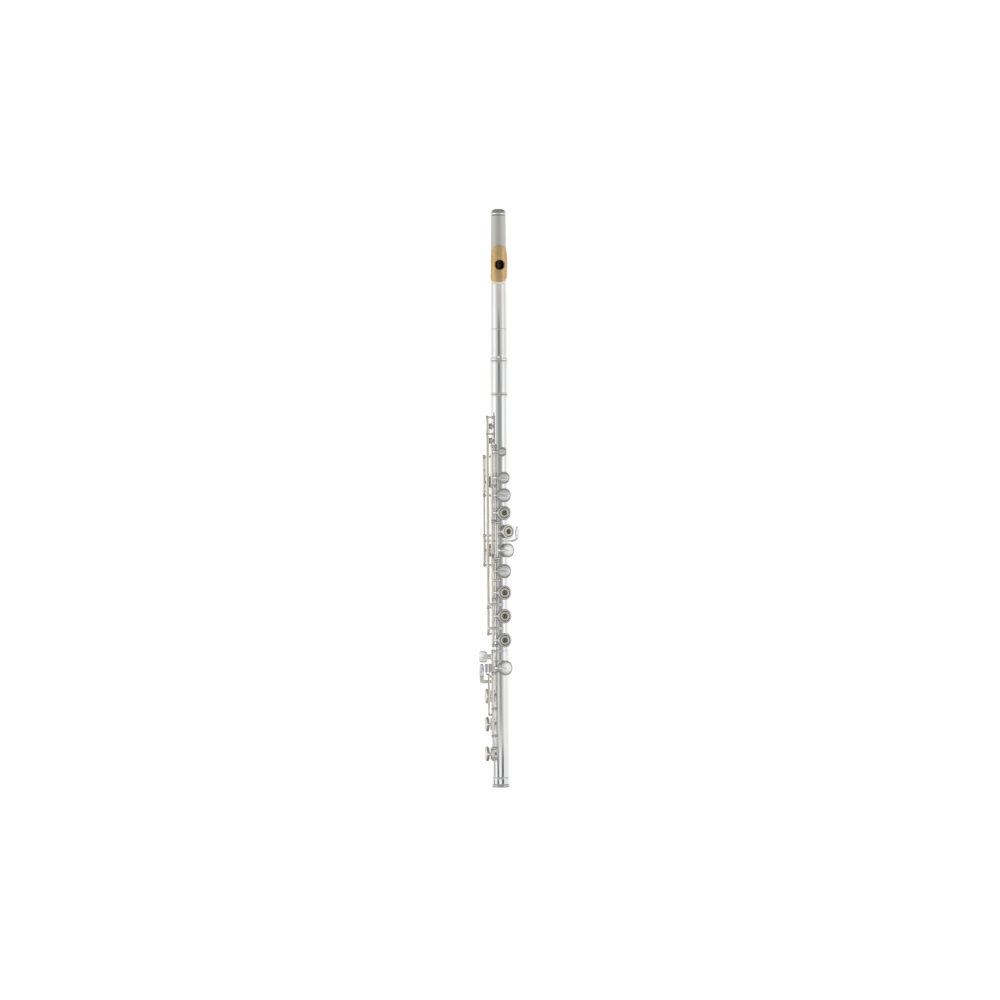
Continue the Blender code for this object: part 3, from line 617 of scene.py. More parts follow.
@dataclass(frozen=True)
class Finish:
    """A finish: its colour and gloss, the fine marks that break them up, and where set a warm painted
    reflection along the rods and a painted glow.
    """

    name: str
    slot: Slot
    colour: Colour
    stain: Colour
    stain_share: float
    roughness: tuple[float, float]
    metallic: float = 1.0
    patch: float = 60.0
    grain: float = 1500.0
    bump: float = 0.02
    # From satin_from up, the colour fades to a duller grey over satin_fade and the roughness rises by
    # satin_roughness.
    satin_from: float = 0.0
    satin_fade: float = 4.0
    satin_roughness: float = 0.0
    dull_grey: Colour = (0.81, 0.8, 0.75)
    # A painted reflection: a warm tint laid into the colour along the rods, between rods_far and rods_near
    # across the flute.
    reflection_tint: Colour = (0.93, 0.83, 0.68)
    painted_reflection_share: float = 0.0
    rods_near: tuple[float, float] = (-0.013, -0.008)
    rods_far: tuple[float, float] = (-0.0225, -0.0205)
    # A painted glow: emission on a finish that gives off no light, to brighten it.
    painted_glow: float = 0.0

    def material(self) -> bpy.types.Material:
        """Builds the finish's material once, and finds it again after that."""
        found = bpy.data.materials.get(self.name)
        return found or self.build()

    def with_painted_reflection(self, graph: Graph, colour: Socket, across: Socket, patches: Socket) -> Socket:
        """Paints a warm reflection into the colour in patches along the rods, and leaves it as it is beside
        them.

        Args:
            graph: The material's nodes.
            colour: The colour so far.
            across: How far across the flute a point lies.
            patches: The pattern of the patches.

        Returns:
            The warmed colour.
        """
        rods = graph.remap(across, *self.rods_near, self.painted_reflection_share, 0.0)
        rods = graph.calc("MULTIPLY", rods, graph.remap(across, *self.rods_far, 0.0, 1.0))
        rods = graph.calc("MULTIPLY", rods, graph.remap(patches, 0.3, 0.6, 0.4, 1.0))
        return graph.mix(rods, colour, (*self.reflection_tint, 1))

    def build(self) -> bpy.types.Material:
        """Builds the material.

        Returns:
            A material whose colour, roughness and bump come from patterns on object coordinates.
        """
        made = bpy.data.materials.new(self.name)
        made.use_nodes = True
        graph = Graph(made.node_tree)
        place = graph.node("ShaderNodeTexCoord").outputs["Object"]
        inputs = {"Vector": place, "Scale": (1.0, 1.0, 0.12)}
        drawn_out = graph.node("ShaderNodeMapping", inputs).outputs[0]
        inputs = {"Vector": place, "Scale": self.patch, "Detail": 4.0}
        patches = graph.node("ShaderNodeTexNoise", inputs).outputs["Fac"]
        inputs = {"Vector": drawn_out, "Scale": self.grain, "Detail": 3.0}
        marks = graph.node("ShaderNodeTexNoise", inputs).outputs["Fac"]
        share = graph.remap(patches, 0.38, 0.72, 0.0, self.stain_share)
        colour = graph.mix(share, (*self.colour, 1), (*self.stain, 1))
        parts = graph.node("ShaderNodeSeparateXYZ", {"Vector": place}).outputs
        # Painted reflection: a warm tint along the rods, standing in for warm light mirrored there.
        if self.painted_reflection_share:
            colour = self.with_painted_reflection(graph, colour, parts["X"], patches)
        blend = graph.calc("MULTIPLY", patches, 0.4)
        blend = graph.calc("MULTIPLY_ADD", marks, 0.6, blend)
        rough = graph.remap(blend, 0.35, 0.65, *self.roughness)
        if self.satin_from:
            low, high = self.satin_from * MM, (self.satin_from + self.satin_fade) * MM
            satin = graph.remap(parts["Z"], low, high, 0.0, 1.0)
            rough = graph.calc("MULTIPLY_ADD", satin, self.satin_roughness, rough)
            colour = graph.mix(satin, colour, (*self.dull_grey, 1))
        inputs = {"Height": marks, "Strength": self.bump, "Distance": 0.0002}
        bump = graph.node("ShaderNodeBump", inputs).outputs[0]
        inputs = {"Base Color": colour, "Roughness": rough, "Metallic": self.metallic}
        shader = graph.node("ShaderNodeBsdfPrincipled", {**inputs, "Normal": bump})
        # Painted glow: the finish gives off light of its own colour.
        if self.painted_glow:
            graph.feed(shader.inputs["Emission Color"], colour)
            shader.inputs["Emission Strength"].default_value = self.painted_glow
        graph.node("ShaderNodeOutputMaterial", {"Surface": shader.outputs[0]})
        return made


SILVER = Finish(
    name="polished_silver",
    slot=Slot.SILVER,
    colour=(0.94, 0.94, 0.935),
    stain=(0.87, 0.85, 0.81),
    stain_share=0.3,
    roughness=(0.025, 0.05),
    bump=0.006,
)
# Key silver carries a warm painted reflection along the rods.
KEY_SILVER = Finish(
    name="key_silver",
    slot=Slot.SILVER,
    colour=(0.93, 0.93, 0.925),
    stain=(0.85, 0.83, 0.79),
    stain_share=0.4,
    roughness=(0.04, 0.08),
    bump=0.01,
    painted_reflection_share=0.6,
)
HEAD_SILVER = Finish(
    name="head_silver",
    slot=Slot.SILVER,
    colour=(0.94, 0.935, 0.925),
    stain=(0.87, 0.84, 0.79),
    stain_share=0.3,
    roughness=(0.025, 0.05),
    bump=0.006,
    satin_from=650.0,
    satin_roughness=0.42,
)
BORE = Finish(
    name="bore_tarnish",
    slot=Slot.SILVER,
    colour=(0.2, 0.14, 0.09),
    stain=(0.12, 0.08, 0.05),
    stain_share=0.7,
    roughness=(0.3, 0.45),
    patch=140.0,
)
# The bore seen through the tone holes: an olive tarnish with a painted glow that brightens it.
BORE_WITH_PAINTED_GLOW = Finish(
    name="worn_bore",
    slot=Slot.SILVER,
    colour=(0.6, 0.56, 0.45),
    stain=(0.34, 0.29, 0.18),
    stain_share=0.9,
    roughness=(0.35, 0.5),
    metallic=0.4,
    patch=420.0,
    painted_glow=0.1,
)
GOLD = Finish(
    name="lip_gold",
    slot=Slot.GOLD,
    colour=(0.8, 0.56, 0.28),
    stain=(0.68, 0.42, 0.17),
    stain_share=0.6,
    roughness=(0.26, 0.36),
    patch=110.0,
    bump=0.03,
)
# The lip plate's edge: paler than the plate and with a painted glow, a painted highlight where its bevel
# catches light.
PALE_GOLD_PAINTED_HIGHLIGHT = Finish(
    name="pale_gold",
    slot=Slot.GOLD,
    colour=(1.0, 0.93, 0.8),
    stain=(0.95, 0.86, 0.7),
    stain_share=0.5,
    roughness=(0.3, 0.4),
    metallic=0.3,
    patch=160.0,
    painted_glow=0.28,
)
STEEL = Finish(
    name="ground_steel",
    slot=Slot.STEEL,
    colour=(0.6, 0.6, 0.61),
    stain=(0.45, 0.44, 0.43),
    stain_share=0.5,
    roughness=(0.18, 0.32),
    bump=0.08,
)
BLUED = Finish(
    name="spring_steel",
    slot=Slot.STEEL,
    colour=(0.34, 0.36, 0.42),
    stain=(0.2, 0.2, 0.24),
    stain_share=0.6,
    roughness=(0.2, 0.3),
)
PAD_SKIN = Finish(
    name="pad_skin",
    slot=Slot.PAD_SKIN,
    colour=(0.86, 0.8, 0.64),
    stain=(0.74, 0.64, 0.46),
    stain_share=0.6,
    roughness=(0.5, 0.62),
    metallic=0.0,
    bump=0.15,
)
CORK = Finish(
    name="cork",
    slot=Slot.CORK,
    colour=(0.6, 0.42, 0.26),
    stain=(0.36, 0.23, 0.13),
    stain_share=0.8,
    roughness=(0.8, 0.95),
    metallic=0.0,
    patch=700.0,
    bump=0.5,
)
# Painted shade: a dark ring laid in the groove round each cup's top.
GROOVE_PAINTED_SHADE = Finish(
    name="tarnished_groove",
    slot=Slot.SILVER,
    colour=(0.2, 0.21, 0.23),
    stain=(0.12, 0.11, 0.1),
    stain_share=0.7,
    roughness=(0.3, 0.45),
    patch=300.0,
)
RIM = Finish(
    name="worn_rim",
    slot=Slot.SILVER,
    colour=(0.95, 0.9, 0.86),
    stain=(0.85, 0.78, 0.7),
    stain_share=0.6,
    roughness=(0.22, 0.34),
    metallic=0.75,
    patch=200.0,
)


# ---- pieces


class Workshop:
    """Turns shapes into finished pieces that ride on their bodies."""

    def __init__(self) -> None:
        """Makes the collection that the pieces lie in."""
        self.shelf = bpy.data.collections.new("flute_pieces")
        bpy.context.scene.collection.children.link(self.shelf)
        self.made = 0

    def thing(self, name: str, shapes: Iterable[Mesh]) -> bpy.types.Object:
        """Joins shapes into one object, without any finish.

        Args:
            name: The object's name.
            shapes: The shapes, which are used up.

        Returns:
            The object.
        """
        data = bpy.data.meshes.new(name)
        whole = bmesh.new()
        for shape in shapes:
            shape.to_mesh(data)
            shape.free()
            whole.from_mesh(data)
        whole.to_mesh(data)
        whole.free()
        made = bpy.data.objects.new(name, data)
        self.shelf.objects.link(made)
        return made

    def settle(self, made: bpy.types.Object) -> bpy.types.Object:
        """Replaces an object with live modifiers by a plain object of the same name.

        Args:
            made: The object, which is removed.

        Returns:
            The plain object.
        """
        graph = bpy.context.evaluated_depsgraph_get()
        data = bpy.data.meshes.new_from_object(made.evaluated_get(graph), depsgraph=graph)
        name = made.name
        bpy.data.objects.remove(made)
        data.name = name
        plain = bpy.data.objects.new(name, data)
        self.shelf.objects.link(plain)
        return plain

    def carve(self, made: bpy.types.Object, cutters: Sequence[Mesh]) -> bpy.types.Object:
        """Cuts shapes out of an object.

        Args:
            made: The object.
            cutters: Closed shapes to take away.

        Returns:
            The plain object that is left.
        """
        tool = self.thing(made.name + "_cutter", cutters)
        modifier = made.modifiers.new("cut", "BOOLEAN")
        modifier.operation = "DIFFERENCE"
        modifier.object = tool
        modifier.use_self = len(cutters) > 1
        plain = self.settle(made)
        bpy.data.objects.remove(tool)
        return plain

    def finish(
        self,
        made: bpy.types.Object,
        finish: Finish,
        body: str,
        stands_for: Sequence[str] = (),
        sharp: float = 38.0,
    ) -> bpy.types.Object:
        """Gives an object its finish, its body and its place in the frame.

        Args:
            made: The object, with its place in its mesh.
            finish: What it is finished in.
            body: The body that it rides on.
            stands_for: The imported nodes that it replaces.
            sharp: The angle over which an edge stays sharp.

        Returns:
            The same object.
        """
        data = made.data
        if not data.materials:
            data.materials.append(finish.material())
        data.shade_smooth()
        data.set_sharp_from_angle(angle=math.radians(sharp))
        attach(made, body)
        if stands_for:
            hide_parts(*stands_for)
        self.made += 1
        LOG.info("%s rides on %s with %d faces", made.name, body, len(data.polygons))
        return made

    def piece(
        self,
        name: str,
        shapes: Sequence[Mesh],
        finish: Finish,
        body: str,
        stands_for: Sequence[str] = (),
        cutters: Sequence[Mesh] = (),
    ) -> bpy.types.Object:
        """Makes one finished piece.

        Args:
            name: The piece's name.
            shapes: The closed shapes that make it up.
            finish: What it is finished in.
            body: The body that it rides on.
            stands_for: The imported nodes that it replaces.
            cutters: Closed shapes to take away.

        Returns:
            The piece.
        """
        made = self.thing(name, shapes)
        if cutters:
            made = self.carve(made, cutters)
        return self.finish(made, finish, body, stands_for)


class Scatter:
    """Sets copies of a small shape on points, each turned to its own directions, with a node tree."""

    def __init__(self, workshop: Workshop) -> None:
        """Takes the workshop and builds the tree.

        Args:
            workshop: Where pieces are made.
        """
        self.workshop = workshop
        inputs = {"Shape": "Object", "Size": "Float", "Finish": "Material"}
        self.tree, self.keys = tree_with("set_on_points", {"Points": "Geometry", **inputs})
        graph = Graph(self.tree)
        given = graph.node("NodeGroupInput").outputs
        kind = "GeometryNodeInputNamedAttribute"
        out = graph.node(kind, {"Name": "out"}, data_type="FLOAT_VECTOR").outputs[0]
        along = graph.node(kind, {"Name": "along"}, data_type="FLOAT_VECTOR").outputs[0]
        kind = "FunctionNodeAlignRotationToVector"
        turn = graph.node(kind, {"Vector": out}, axis="Z").outputs[0]
        inputs = {"Rotation": turn, "Vector": along}
        turn = graph.node(kind, inputs, axis="Y", pivot_axis="Z").outputs[0]
        shape = graph.node("GeometryNodeObjectInfo", {"Object": given["Shape"]}).outputs["Geometry"]
        inputs = {"Points": given["Points"], "Instance": shape, "Rotation": turn}
        copies = graph.node("GeometryNodeInstanceOnPoints", {**inputs, "Scale": given["Size"]})
        graph.dress(copies.outputs[0], given["Finish"])

    def place(
        self,
        name: str,
        shape: Sequence[Mesh],
        spots: Sequence[tuple[Vector, Vector, Vector]],
        finish: Finish,
        body: str,
        size: float = 1.0,
        cutters: Sequence[Mesh] = (),
    ) -> bpy.types.Object:
        """Makes one piece from copies of a shape.

        Args:
            name: The piece's name.
            shape: The closed shapes that one copy is made of, about the origin.
            spots: Where each copy stands, the way its Z points and the way its Y points.
            finish: What the copies are finished in.
            body: The body that they ride on.
            size: How large the copies are.
            cutters: Closed shapes to take away from the shape first.

        Returns:
            The piece.
        """
        template = self.workshop.thing(name + "_shape", shape)
        if cutters:
            template = self.workshop.carve(template, cutters)
        data = bpy.data.meshes.new(name)
        data.from_pydata([place * MM for place, _, _ in spots], [], [])
        for column, title in ((1, "out"), (2, "along")):
            layer = data.attributes.new(title, "FLOAT_VECTOR", "POINT")
            layer.data.foreach_set("vector", [value for row in spots for value in row[column]])
        host = bpy.data.objects.new(name, data)
        self.workshop.shelf.objects.link(host)
        modifier = host.modifiers.new("set", "NODES")
        modifier.node_group = self.tree
        modifier[self.keys["Shape"]] = template
        modifier[self.keys["Size"]] = size
        modifier[self.keys["Finish"]] = finish.material()
        made = self.workshop.settle(host)
        bpy.data.objects.remove(template)
        return self.workshop.finish(made, finish, body)


# ---- sizes


@dataclass(frozen=True)
class Tube:
    """The sizes that the three joints share."""

    bore: float = 9.5
    outside: float = 9.9
    slip: float = 0.15
    foot_length: float = 168.0
    body_base: float = 155.2
    body_top: float = 500.0
    head_base: float = 500.6
    head_length: float = 197.8
    chimney_top: float = 12.4
    chimney_wall: float = 0.5
    rib_gap: float = 0.3
    rib_thickness: float = 0.8

    @property
    def rib(self) -> float:
        """The radius that the straps lie on."""
        return self.outside + self.rib_gap


TUBE = Tube()
TOUCH_ANGLE = 22.0
ARM_THICKNESS = 1.3


class CupStyle(Enum):
    """How the top of a key's cup is made."""

    PLAIN = "plain"
    FINGERED = "fingered"


@dataclass(frozen=True)
class Cup:
    """One key cup with its pad, over one tone hole."""

    pad: str
    angle: float = 0.0
    style: CupStyle = CupStyle.PLAIN
    skirt: float = 0.8
    side: float = 0.6
    ceiling: float = 2.62
    top: float = 3.62
    finger_hole: float = 3.5
    dome: float = 0.62
    domed_radius: float = 8.7
    sides: int = 72
    pad_lift: float = 0.12
    pad_depth: float = 2.2
    pad_margin: float = 0.9
    small_below: float = 6.2
    small_seat: float = 2.2
    seat: float = 1.8

    @property
    def z(self) -> float:
        """The height of the cup's middle up the bore."""
        low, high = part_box(self.pad)
        return (low.z + high.z) / 2 / MM

    @property
    def radius(self) -> float:
        """The cup's outer radius."""
        low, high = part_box(self.pad)
        return (high.z - low.z) / 2 / MM + self.pad_margin

    @property
    def hole(self) -> float:
        """The radius of the tone hole under the cup."""
        return self.radius - (self.small_seat if self.radius < self.small_below else self.seat)

    def frame(self) -> Matrix:
        """The cup's own frame, with Z outwards."""
        return radial_frame(self.angle, self.z)

    def shell(self) -> Mesh:
        """Makes the cup: a turned cap with a soft shoulder, a fine bead and a recess for the pad.

        Returns:
            A closed mesh in metres.
        """
        base, radius = TUBE.chimney_top, self.radius
        top = base + self.top
        inner = self.finger_hole
        low, high = base + self.skirt, base + self.ceiling
        corners = [(radius - 1.5, top - 0.3, 0.15), (radius - 1.3, top, 0.2)]
        corners += [(radius - 0.75, top, 0.45), (radius, top - 0.9, 0.7), (radius, low, 0.15)]
        corners += [(radius - self.side, low, 0.1), (radius - self.side, high, 0.2)]
        if self.style is CupStyle.FINGERED:
            start = [(inner, top - 0.3, 0.1), (inner + 2.2, top - 0.3, 0.05)]
            start += [(inner + 2.3, top - 0.6, 0.1), (inner + 2.9, top - 0.6, 0.1)]
            start += [(inner + 3.05, top + 0.08, 0.2), (radius - 1.5, top - 0.12, 0.3)]
            corners = [*start, *corners[2:], (inner, high, 0.1)]
            return turned(rounded(corners), self.sides, self.frame(), closed=True)
        dome = self.dome * radius / self.domed_radius
        cap = []
        for step in range(9):
            share = step / 8
            cap.append((share * (radius - 1.9), top - 0.15 + dome * (1 - share**2), 0))
        cap.append((radius - 1.7, top - 0.38, 0.1))
        outline = rounded([*cap, *corners, (0.0, high, 0)], closed=False)
        return turned(outline, self.sides, self.frame())

    def groove(self) -> Mesh:
        """Makes a dark ring of painted shade in the groove round the cup's top.

        Returns:
            A closed ring in metres.
        """
        top = TUBE.chimney_top + self.top
        if self.style is CupStyle.FINGERED:
            near, far, high = self.finger_hole + 2.28, self.finger_hole + 2.92, top - 0.3
        else:
            near, far, high = self.radius - 1.75, self.radius - 1.35, top - 0.16
        soft, low = 0.05, high - 0.25
        corners = [(near, low, soft), (near, high, soft), (far, high, soft), (far, low, soft)]
        return turned(rounded(corners, 2), 64, self.frame(), closed=True)

    def cushion(self) -> Mesh:
        """Makes the pad: a soft ring or disc with a crease where the skin folds over its edge.

        Returns:
            A closed mesh in metres.
        """
        low = TUBE.chimney_top + self.pad_lift
        high = low + self.pad_depth
        radius = self.radius - self.pad_margin
        edge = [(radius - 0.5, low, 0.3), (radius, low + 0.5, 0.3), (radius, high, 0.2)]
        if self.style is CupStyle.FINGERED:
            inner = self.finger_hole + 0.1
            corners = [(inner, low + 0.25, 0.2), (inner + 0.9, low, 0.5), *edge, (inner, high, 0.1)]
            return turned(rounded(corners), 48, self.frame(), closed=True)
        corners = [(0.0, low + 0.3, 0), (2.3, low + 0.25, 0.3), (3.0, low, 0.5), *edge, (0.0, high, 0)]
        return turned(rounded(corners, closed=False), 48, self.frame())

    def grommet(self) -> Mesh:
        """Makes the ring that lines a finger hole and holds the pad, or the washer in a plain pad.

        Returns:
            A closed mesh in metres.
        """
        low, top = TUBE.chimney_top + self.pad_lift, TUBE.chimney_top + self.top
        if self.style is CupStyle.FINGERED:
            inner, collar = self.finger_hole - 0.2, self.finger_hole - 0.05
            corners = [(inner, top + 0.02, 0.25), (inner + 0.9, top + 0.14, 0.4)]
            corners += [(inner + 2.3, top - 0.08, 0.15), (inner + 2.3, top - 0.28, 0.05)]
            corners += [(collar, top - 0.28, 0.05), (collar, low, 0.1)]
            corners += [(inner + 1.5, low, 0.1), (inner + 1.5, low - 0.3, 0.15), (inner, low - 0.3, 0.15)]
            return turned(rounded(corners), 48, self.frame(), closed=True)
        corners = [(0.0, low - 0.35, 0), (0.9, low - 0.35, 0.2), (1.0, low - 0.05, 0.1)]
        corners += [(2.2, low + 0.02, 0.15), (2.2, low + 0.35, 0.1), (0.0, low + 0.35, 0)]
        return turned(rounded(corners, closed=False), 40, self.frame())


@dataclass
class Key:
    """One key: its hinge tube, cups, arms and touches, built closed and turned to where it rests."""

    name: str
    node: str
    body: str
    line: Line
    span: tuple[float, float]
    cups: Sequence[Cup] = ()
    stand: float = 0.0
    extras: Sequence[Mesh] = ()
    hinge_radius: float = 1.8
    hinge_bore: float = 1.2
    arm_width: float = 4.0
    arm_thickness: float = ARM_THICKNESS

    def tube(self, span: tuple[float, float]) -> Mesh:
        """Makes one stretch of hinge tube with chamfered ends and a fine groove near each.

        Args:
            span: The heights of its ends.

        Returns:
            A closed ring in metres.
        """
        low, high = span
        radius, bore = self.hinge_radius, self.hinge_bore
        soft, floor, least_grooved = 0.2, self.hinge_radius - 0.18, 5
        corners = [(bore, low, 0.1), (radius, low, soft)]
        for at in (low + 1.1, high - 1.5):
            if high - low > least_grooved:
                corners += [(radius, at, 0.05), (floor, at + 0.1, 0.08)]
                corners += [(floor, at + 0.3, 0.08), (radius, at + 0.4, 0.05)]
        corners += [(radius, high, soft), (bore, high, 0.1)]
        return turned(rounded(corners, 2), 32, Matrix.Translation(self.line.at(0)), closed=True)

    def arm(self, cup: Cup) -> Mesh:
        """Makes the arm of one cup.

        Args:
            cup: The cup. A plain one takes a pointed arm to its middle, and a fingered one an arm
                to its side.

        Returns:
            The arm, in the closed position.
        """
        turn = math.radians(self.line.angle - cup.angle)
        side, height = self.line.radius * math.sin(turn), self.line.radius * math.cos(turn)
        toward = math.copysign(1, side)
        top = TUBE.chimney_top + cup.top
        radius, wide, z = cup.radius, self.arm_width, cup.z
        if cup.style is CupStyle.FINGERED:
            low = top - 1.3
            route = [(side - toward * 0.4, height + 0.9), (toward * (radius + 1.7), low)]
            route.append((toward * (radius - cup.side / 2), low))
            widths = [wide * 0.95, wide * 0.9, wide * 1.3]
        else:
            over = top + self.arm_thickness / 2 - 0.55
            shoulder = toward * (radius + max(0.6, (abs(side) - radius) * 0.45))
            route = [(side - toward * 0.4, min(height + 0.9, over)), (shoulder, over - 0.8)]
            route += [(toward * (radius - 1.2), over), (-toward * 0.5, over)]
            widths = [wide, wide * 0.95, wide * 0.8, 0.9]
        points = [spot(cup.angle, across, out, z) for across, out in route]
        return strip(points, widths, self.arm_thickness, UP, 2.6)

    def make(self, workshop: Workshop) -> None:
        """Makes the key's pieces and sets them on its body.

        Args:
            workshop: Where pieces are made.
        """
        metal = [self.tube(self.span)]
        for cup in self.cups:
            metal += [cup.shell(), self.arm(cup)]
        metal += list(self.extras)
        pads = [cup.cushion() for cup in self.cups]
        rings = [cup.grommet() for cup in self.cups]
        # Dark rings of painted shade for the cups' grooves.
        painted_shade_rings = [cup.groove() for cup in self.cups]
        turn = self.line.turned_by(self.stand)
        turn.translation *= MM
        for shape in [*metal, *pads, *rings, *painted_shade_rings]:
            bmesh.ops.transform(shape, matrix=turn, verts=shape.verts)
        workshop.piece(self.name, metal, KEY_SILVER, self.body, [self.node])
        if pads:
            nodes = [cup.pad for cup in self.cups]
            workshop.piece(self.name + "_pad_skins", pads, PAD_SKIN, self.body, nodes)
            workshop.piece(self.name + "_pad_rings", rings, RIM, self.body)
            workshop.piece(self.name + "_grooves", painted_shade_rings, GROOVE_PAINTED_SHADE, self.body)


@dataclass
class Posts:
    """A row of posts on one hinge line, with the screws at its ends and the springs beside them."""

    line: Line
    heights: Sequence[float]
    body: str
    name: str
    foot: float = 10.6
    head: float = 2.1
    screw_reach: float = 1.75
    spring_drop: float = 2.7
    spring_rise: float = 0.4

    def shape(self) -> Mesh:
        """Makes one post about the origin: a collar, a waisted neck and a ball head.

        Returns:
            A closed mesh in metres.
        """
        length = self.line.radius - self.foot
        corners = [(0.0, 0.0), (1.95, 0.0), (1.95, 0.35), (1.7, 0.6), (1.25, 0.8)]
        for step in range(1, 6):
            share = step / 6
            waist = 1.25 - 0.3 * math.sin(math.pi * share)
            corners.append((waist, 0.8 + (length - self.head - 0.5) * share))
        start = math.asin(0.5)
        for step in range(15):
            turn = start + (math.pi - start) * step / 14
            corners.append((self.head * math.sin(turn), length - self.head * math.cos(turn)))
        corners[-1] = (0.0, length + self.head)
        return turned(corners, 28)

    def make(self, workshop: Workshop, scatter: Scatter) -> None:
        """Makes the row.

        Args:
            workshop: Where pieces are made.
            scatter: What sets copies on points.
        """
        line, name, body = self.line, self.name, self.body
        out, aside = spot(line.angle, 0, 1, 0), spot(line.angle, 1, 0, 0)
        feet = [(spot(line.angle, 0, self.foot, z), out, UP) for z in self.heights]
        bore = drum(1.2, -3, 3, 20, across_frame(line.radius - self.foot))
        scatter.place(name + "_posts", [self.shape()], feet, SILVER, body, cutters=[bore])
        low, high = self.heights[0] - self.screw_reach, self.heights[-1] + self.screw_reach
        ends = [(line.at(low), -UP, out), (line.at(high), UP, out)]
        scatter.place(name + "_pivot_screws", [screw_head()], ends, STEEL, body, cutters=[screw_slot()])
        under, over = line.radius - self.spring_drop, self.spring_rise
        springs = [(spot(line.angle, 0, under, z + over), aside, UP) for z in self.heights[:-1]]
        scatter.place(name + "_needle_springs", [needle()], springs, BLUED, body)


def across_frame(height: float) -> Matrix:
    """A frame whose Z lies along local Y at one height, for a bore across a post."""
    return Matrix.Translation((0, 0, height)) @ Matrix.Rotation(math.radians(-90), 4, "X")


def screw_head(radius: float = 1.15, depth: float = 0.7) -> Mesh:
    """Makes a small domed screw head about the origin."""
    corners = [(0.0, -depth, 0), (radius, -depth, 0.1), (radius, depth * 0.25, 0.25), (0.0, depth * 0.5, 0)]
    return turned(rounded(corners, closed=False), 28)


def screw_slot(radius: float = 1.15, width: float = 0.32) -> Mesh:
    """Makes the cutter for a screw's slot.

    Args:
        radius: The screw head's radius.
        width: The slot's width.

    Returns:
        A closed mesh in metres.
    """
    made = bmesh.new()
    bmesh.ops.create_cube(made, size=1.0)
    bmesh.ops.scale(made, vec=Vector((width, radius * 3, 0.6)) * MM, verts=made.verts)
    bmesh.ops.translate(made, vec=Vector((0, 0, 0.45)) * MM, verts=made.verts)
    return made


def needle(length: float = 15.0, radius: float = 0.28) -> Mesh:
    """Makes one needle spring about the origin: a fine tapered wire that bends gently as it runs up.

    Args:
        length: The spring's length.
        radius: Its radius at its thick end.

    Returns:
        A closed mesh in metres.
    """
    rings = []
    for step in range(11):
        share = step / 10
        wide = radius * (1 - 0.55 * share)
        middle = Vector((0, length * share, 1.5 * share**2))
        angles = [2 * math.pi * i / 8 for i in range(8)]
        rings.append([middle + Vector((wide * math.cos(a), 0, wide * math.sin(a))) for a in angles])
    return skin(rings)


def spans(posts: Sequence[float], splits: Sequence[float] = ()) -> list[tuple[float, float]]:
    """Divides a hinge line into the stretches between its posts.

    Args:
        posts: The posts' heights.
        splits: Heights at which a stretch is divided again.

    Returns:
        The low and high end of each stretch.
    """
    reach, gap = 2.35, 0.25
    found = []
    for low, high in zip(posts, posts[1:]):
        inside = [split for split in splits if low < split < high]
        starts = [low + reach] + [split + gap for split in inside]
        ends = [split - gap for split in inside] + [high - reach]
        found.extend(zip(starts, ends))
    return found


def rod(line: Line, low: float, high: float, radius: float = 0.9) -> Mesh:
    """Makes a plain steel with chamfered ends along a hinge line."""
    corners = [(0.0, low, 0), (radius, low, 0.25), (radius, high, 0.25), (0.0, high, 0)]
    return turned(rounded(corners, 2, closed=False), 24, Matrix.Translation(line.at(0)))


# ---- head


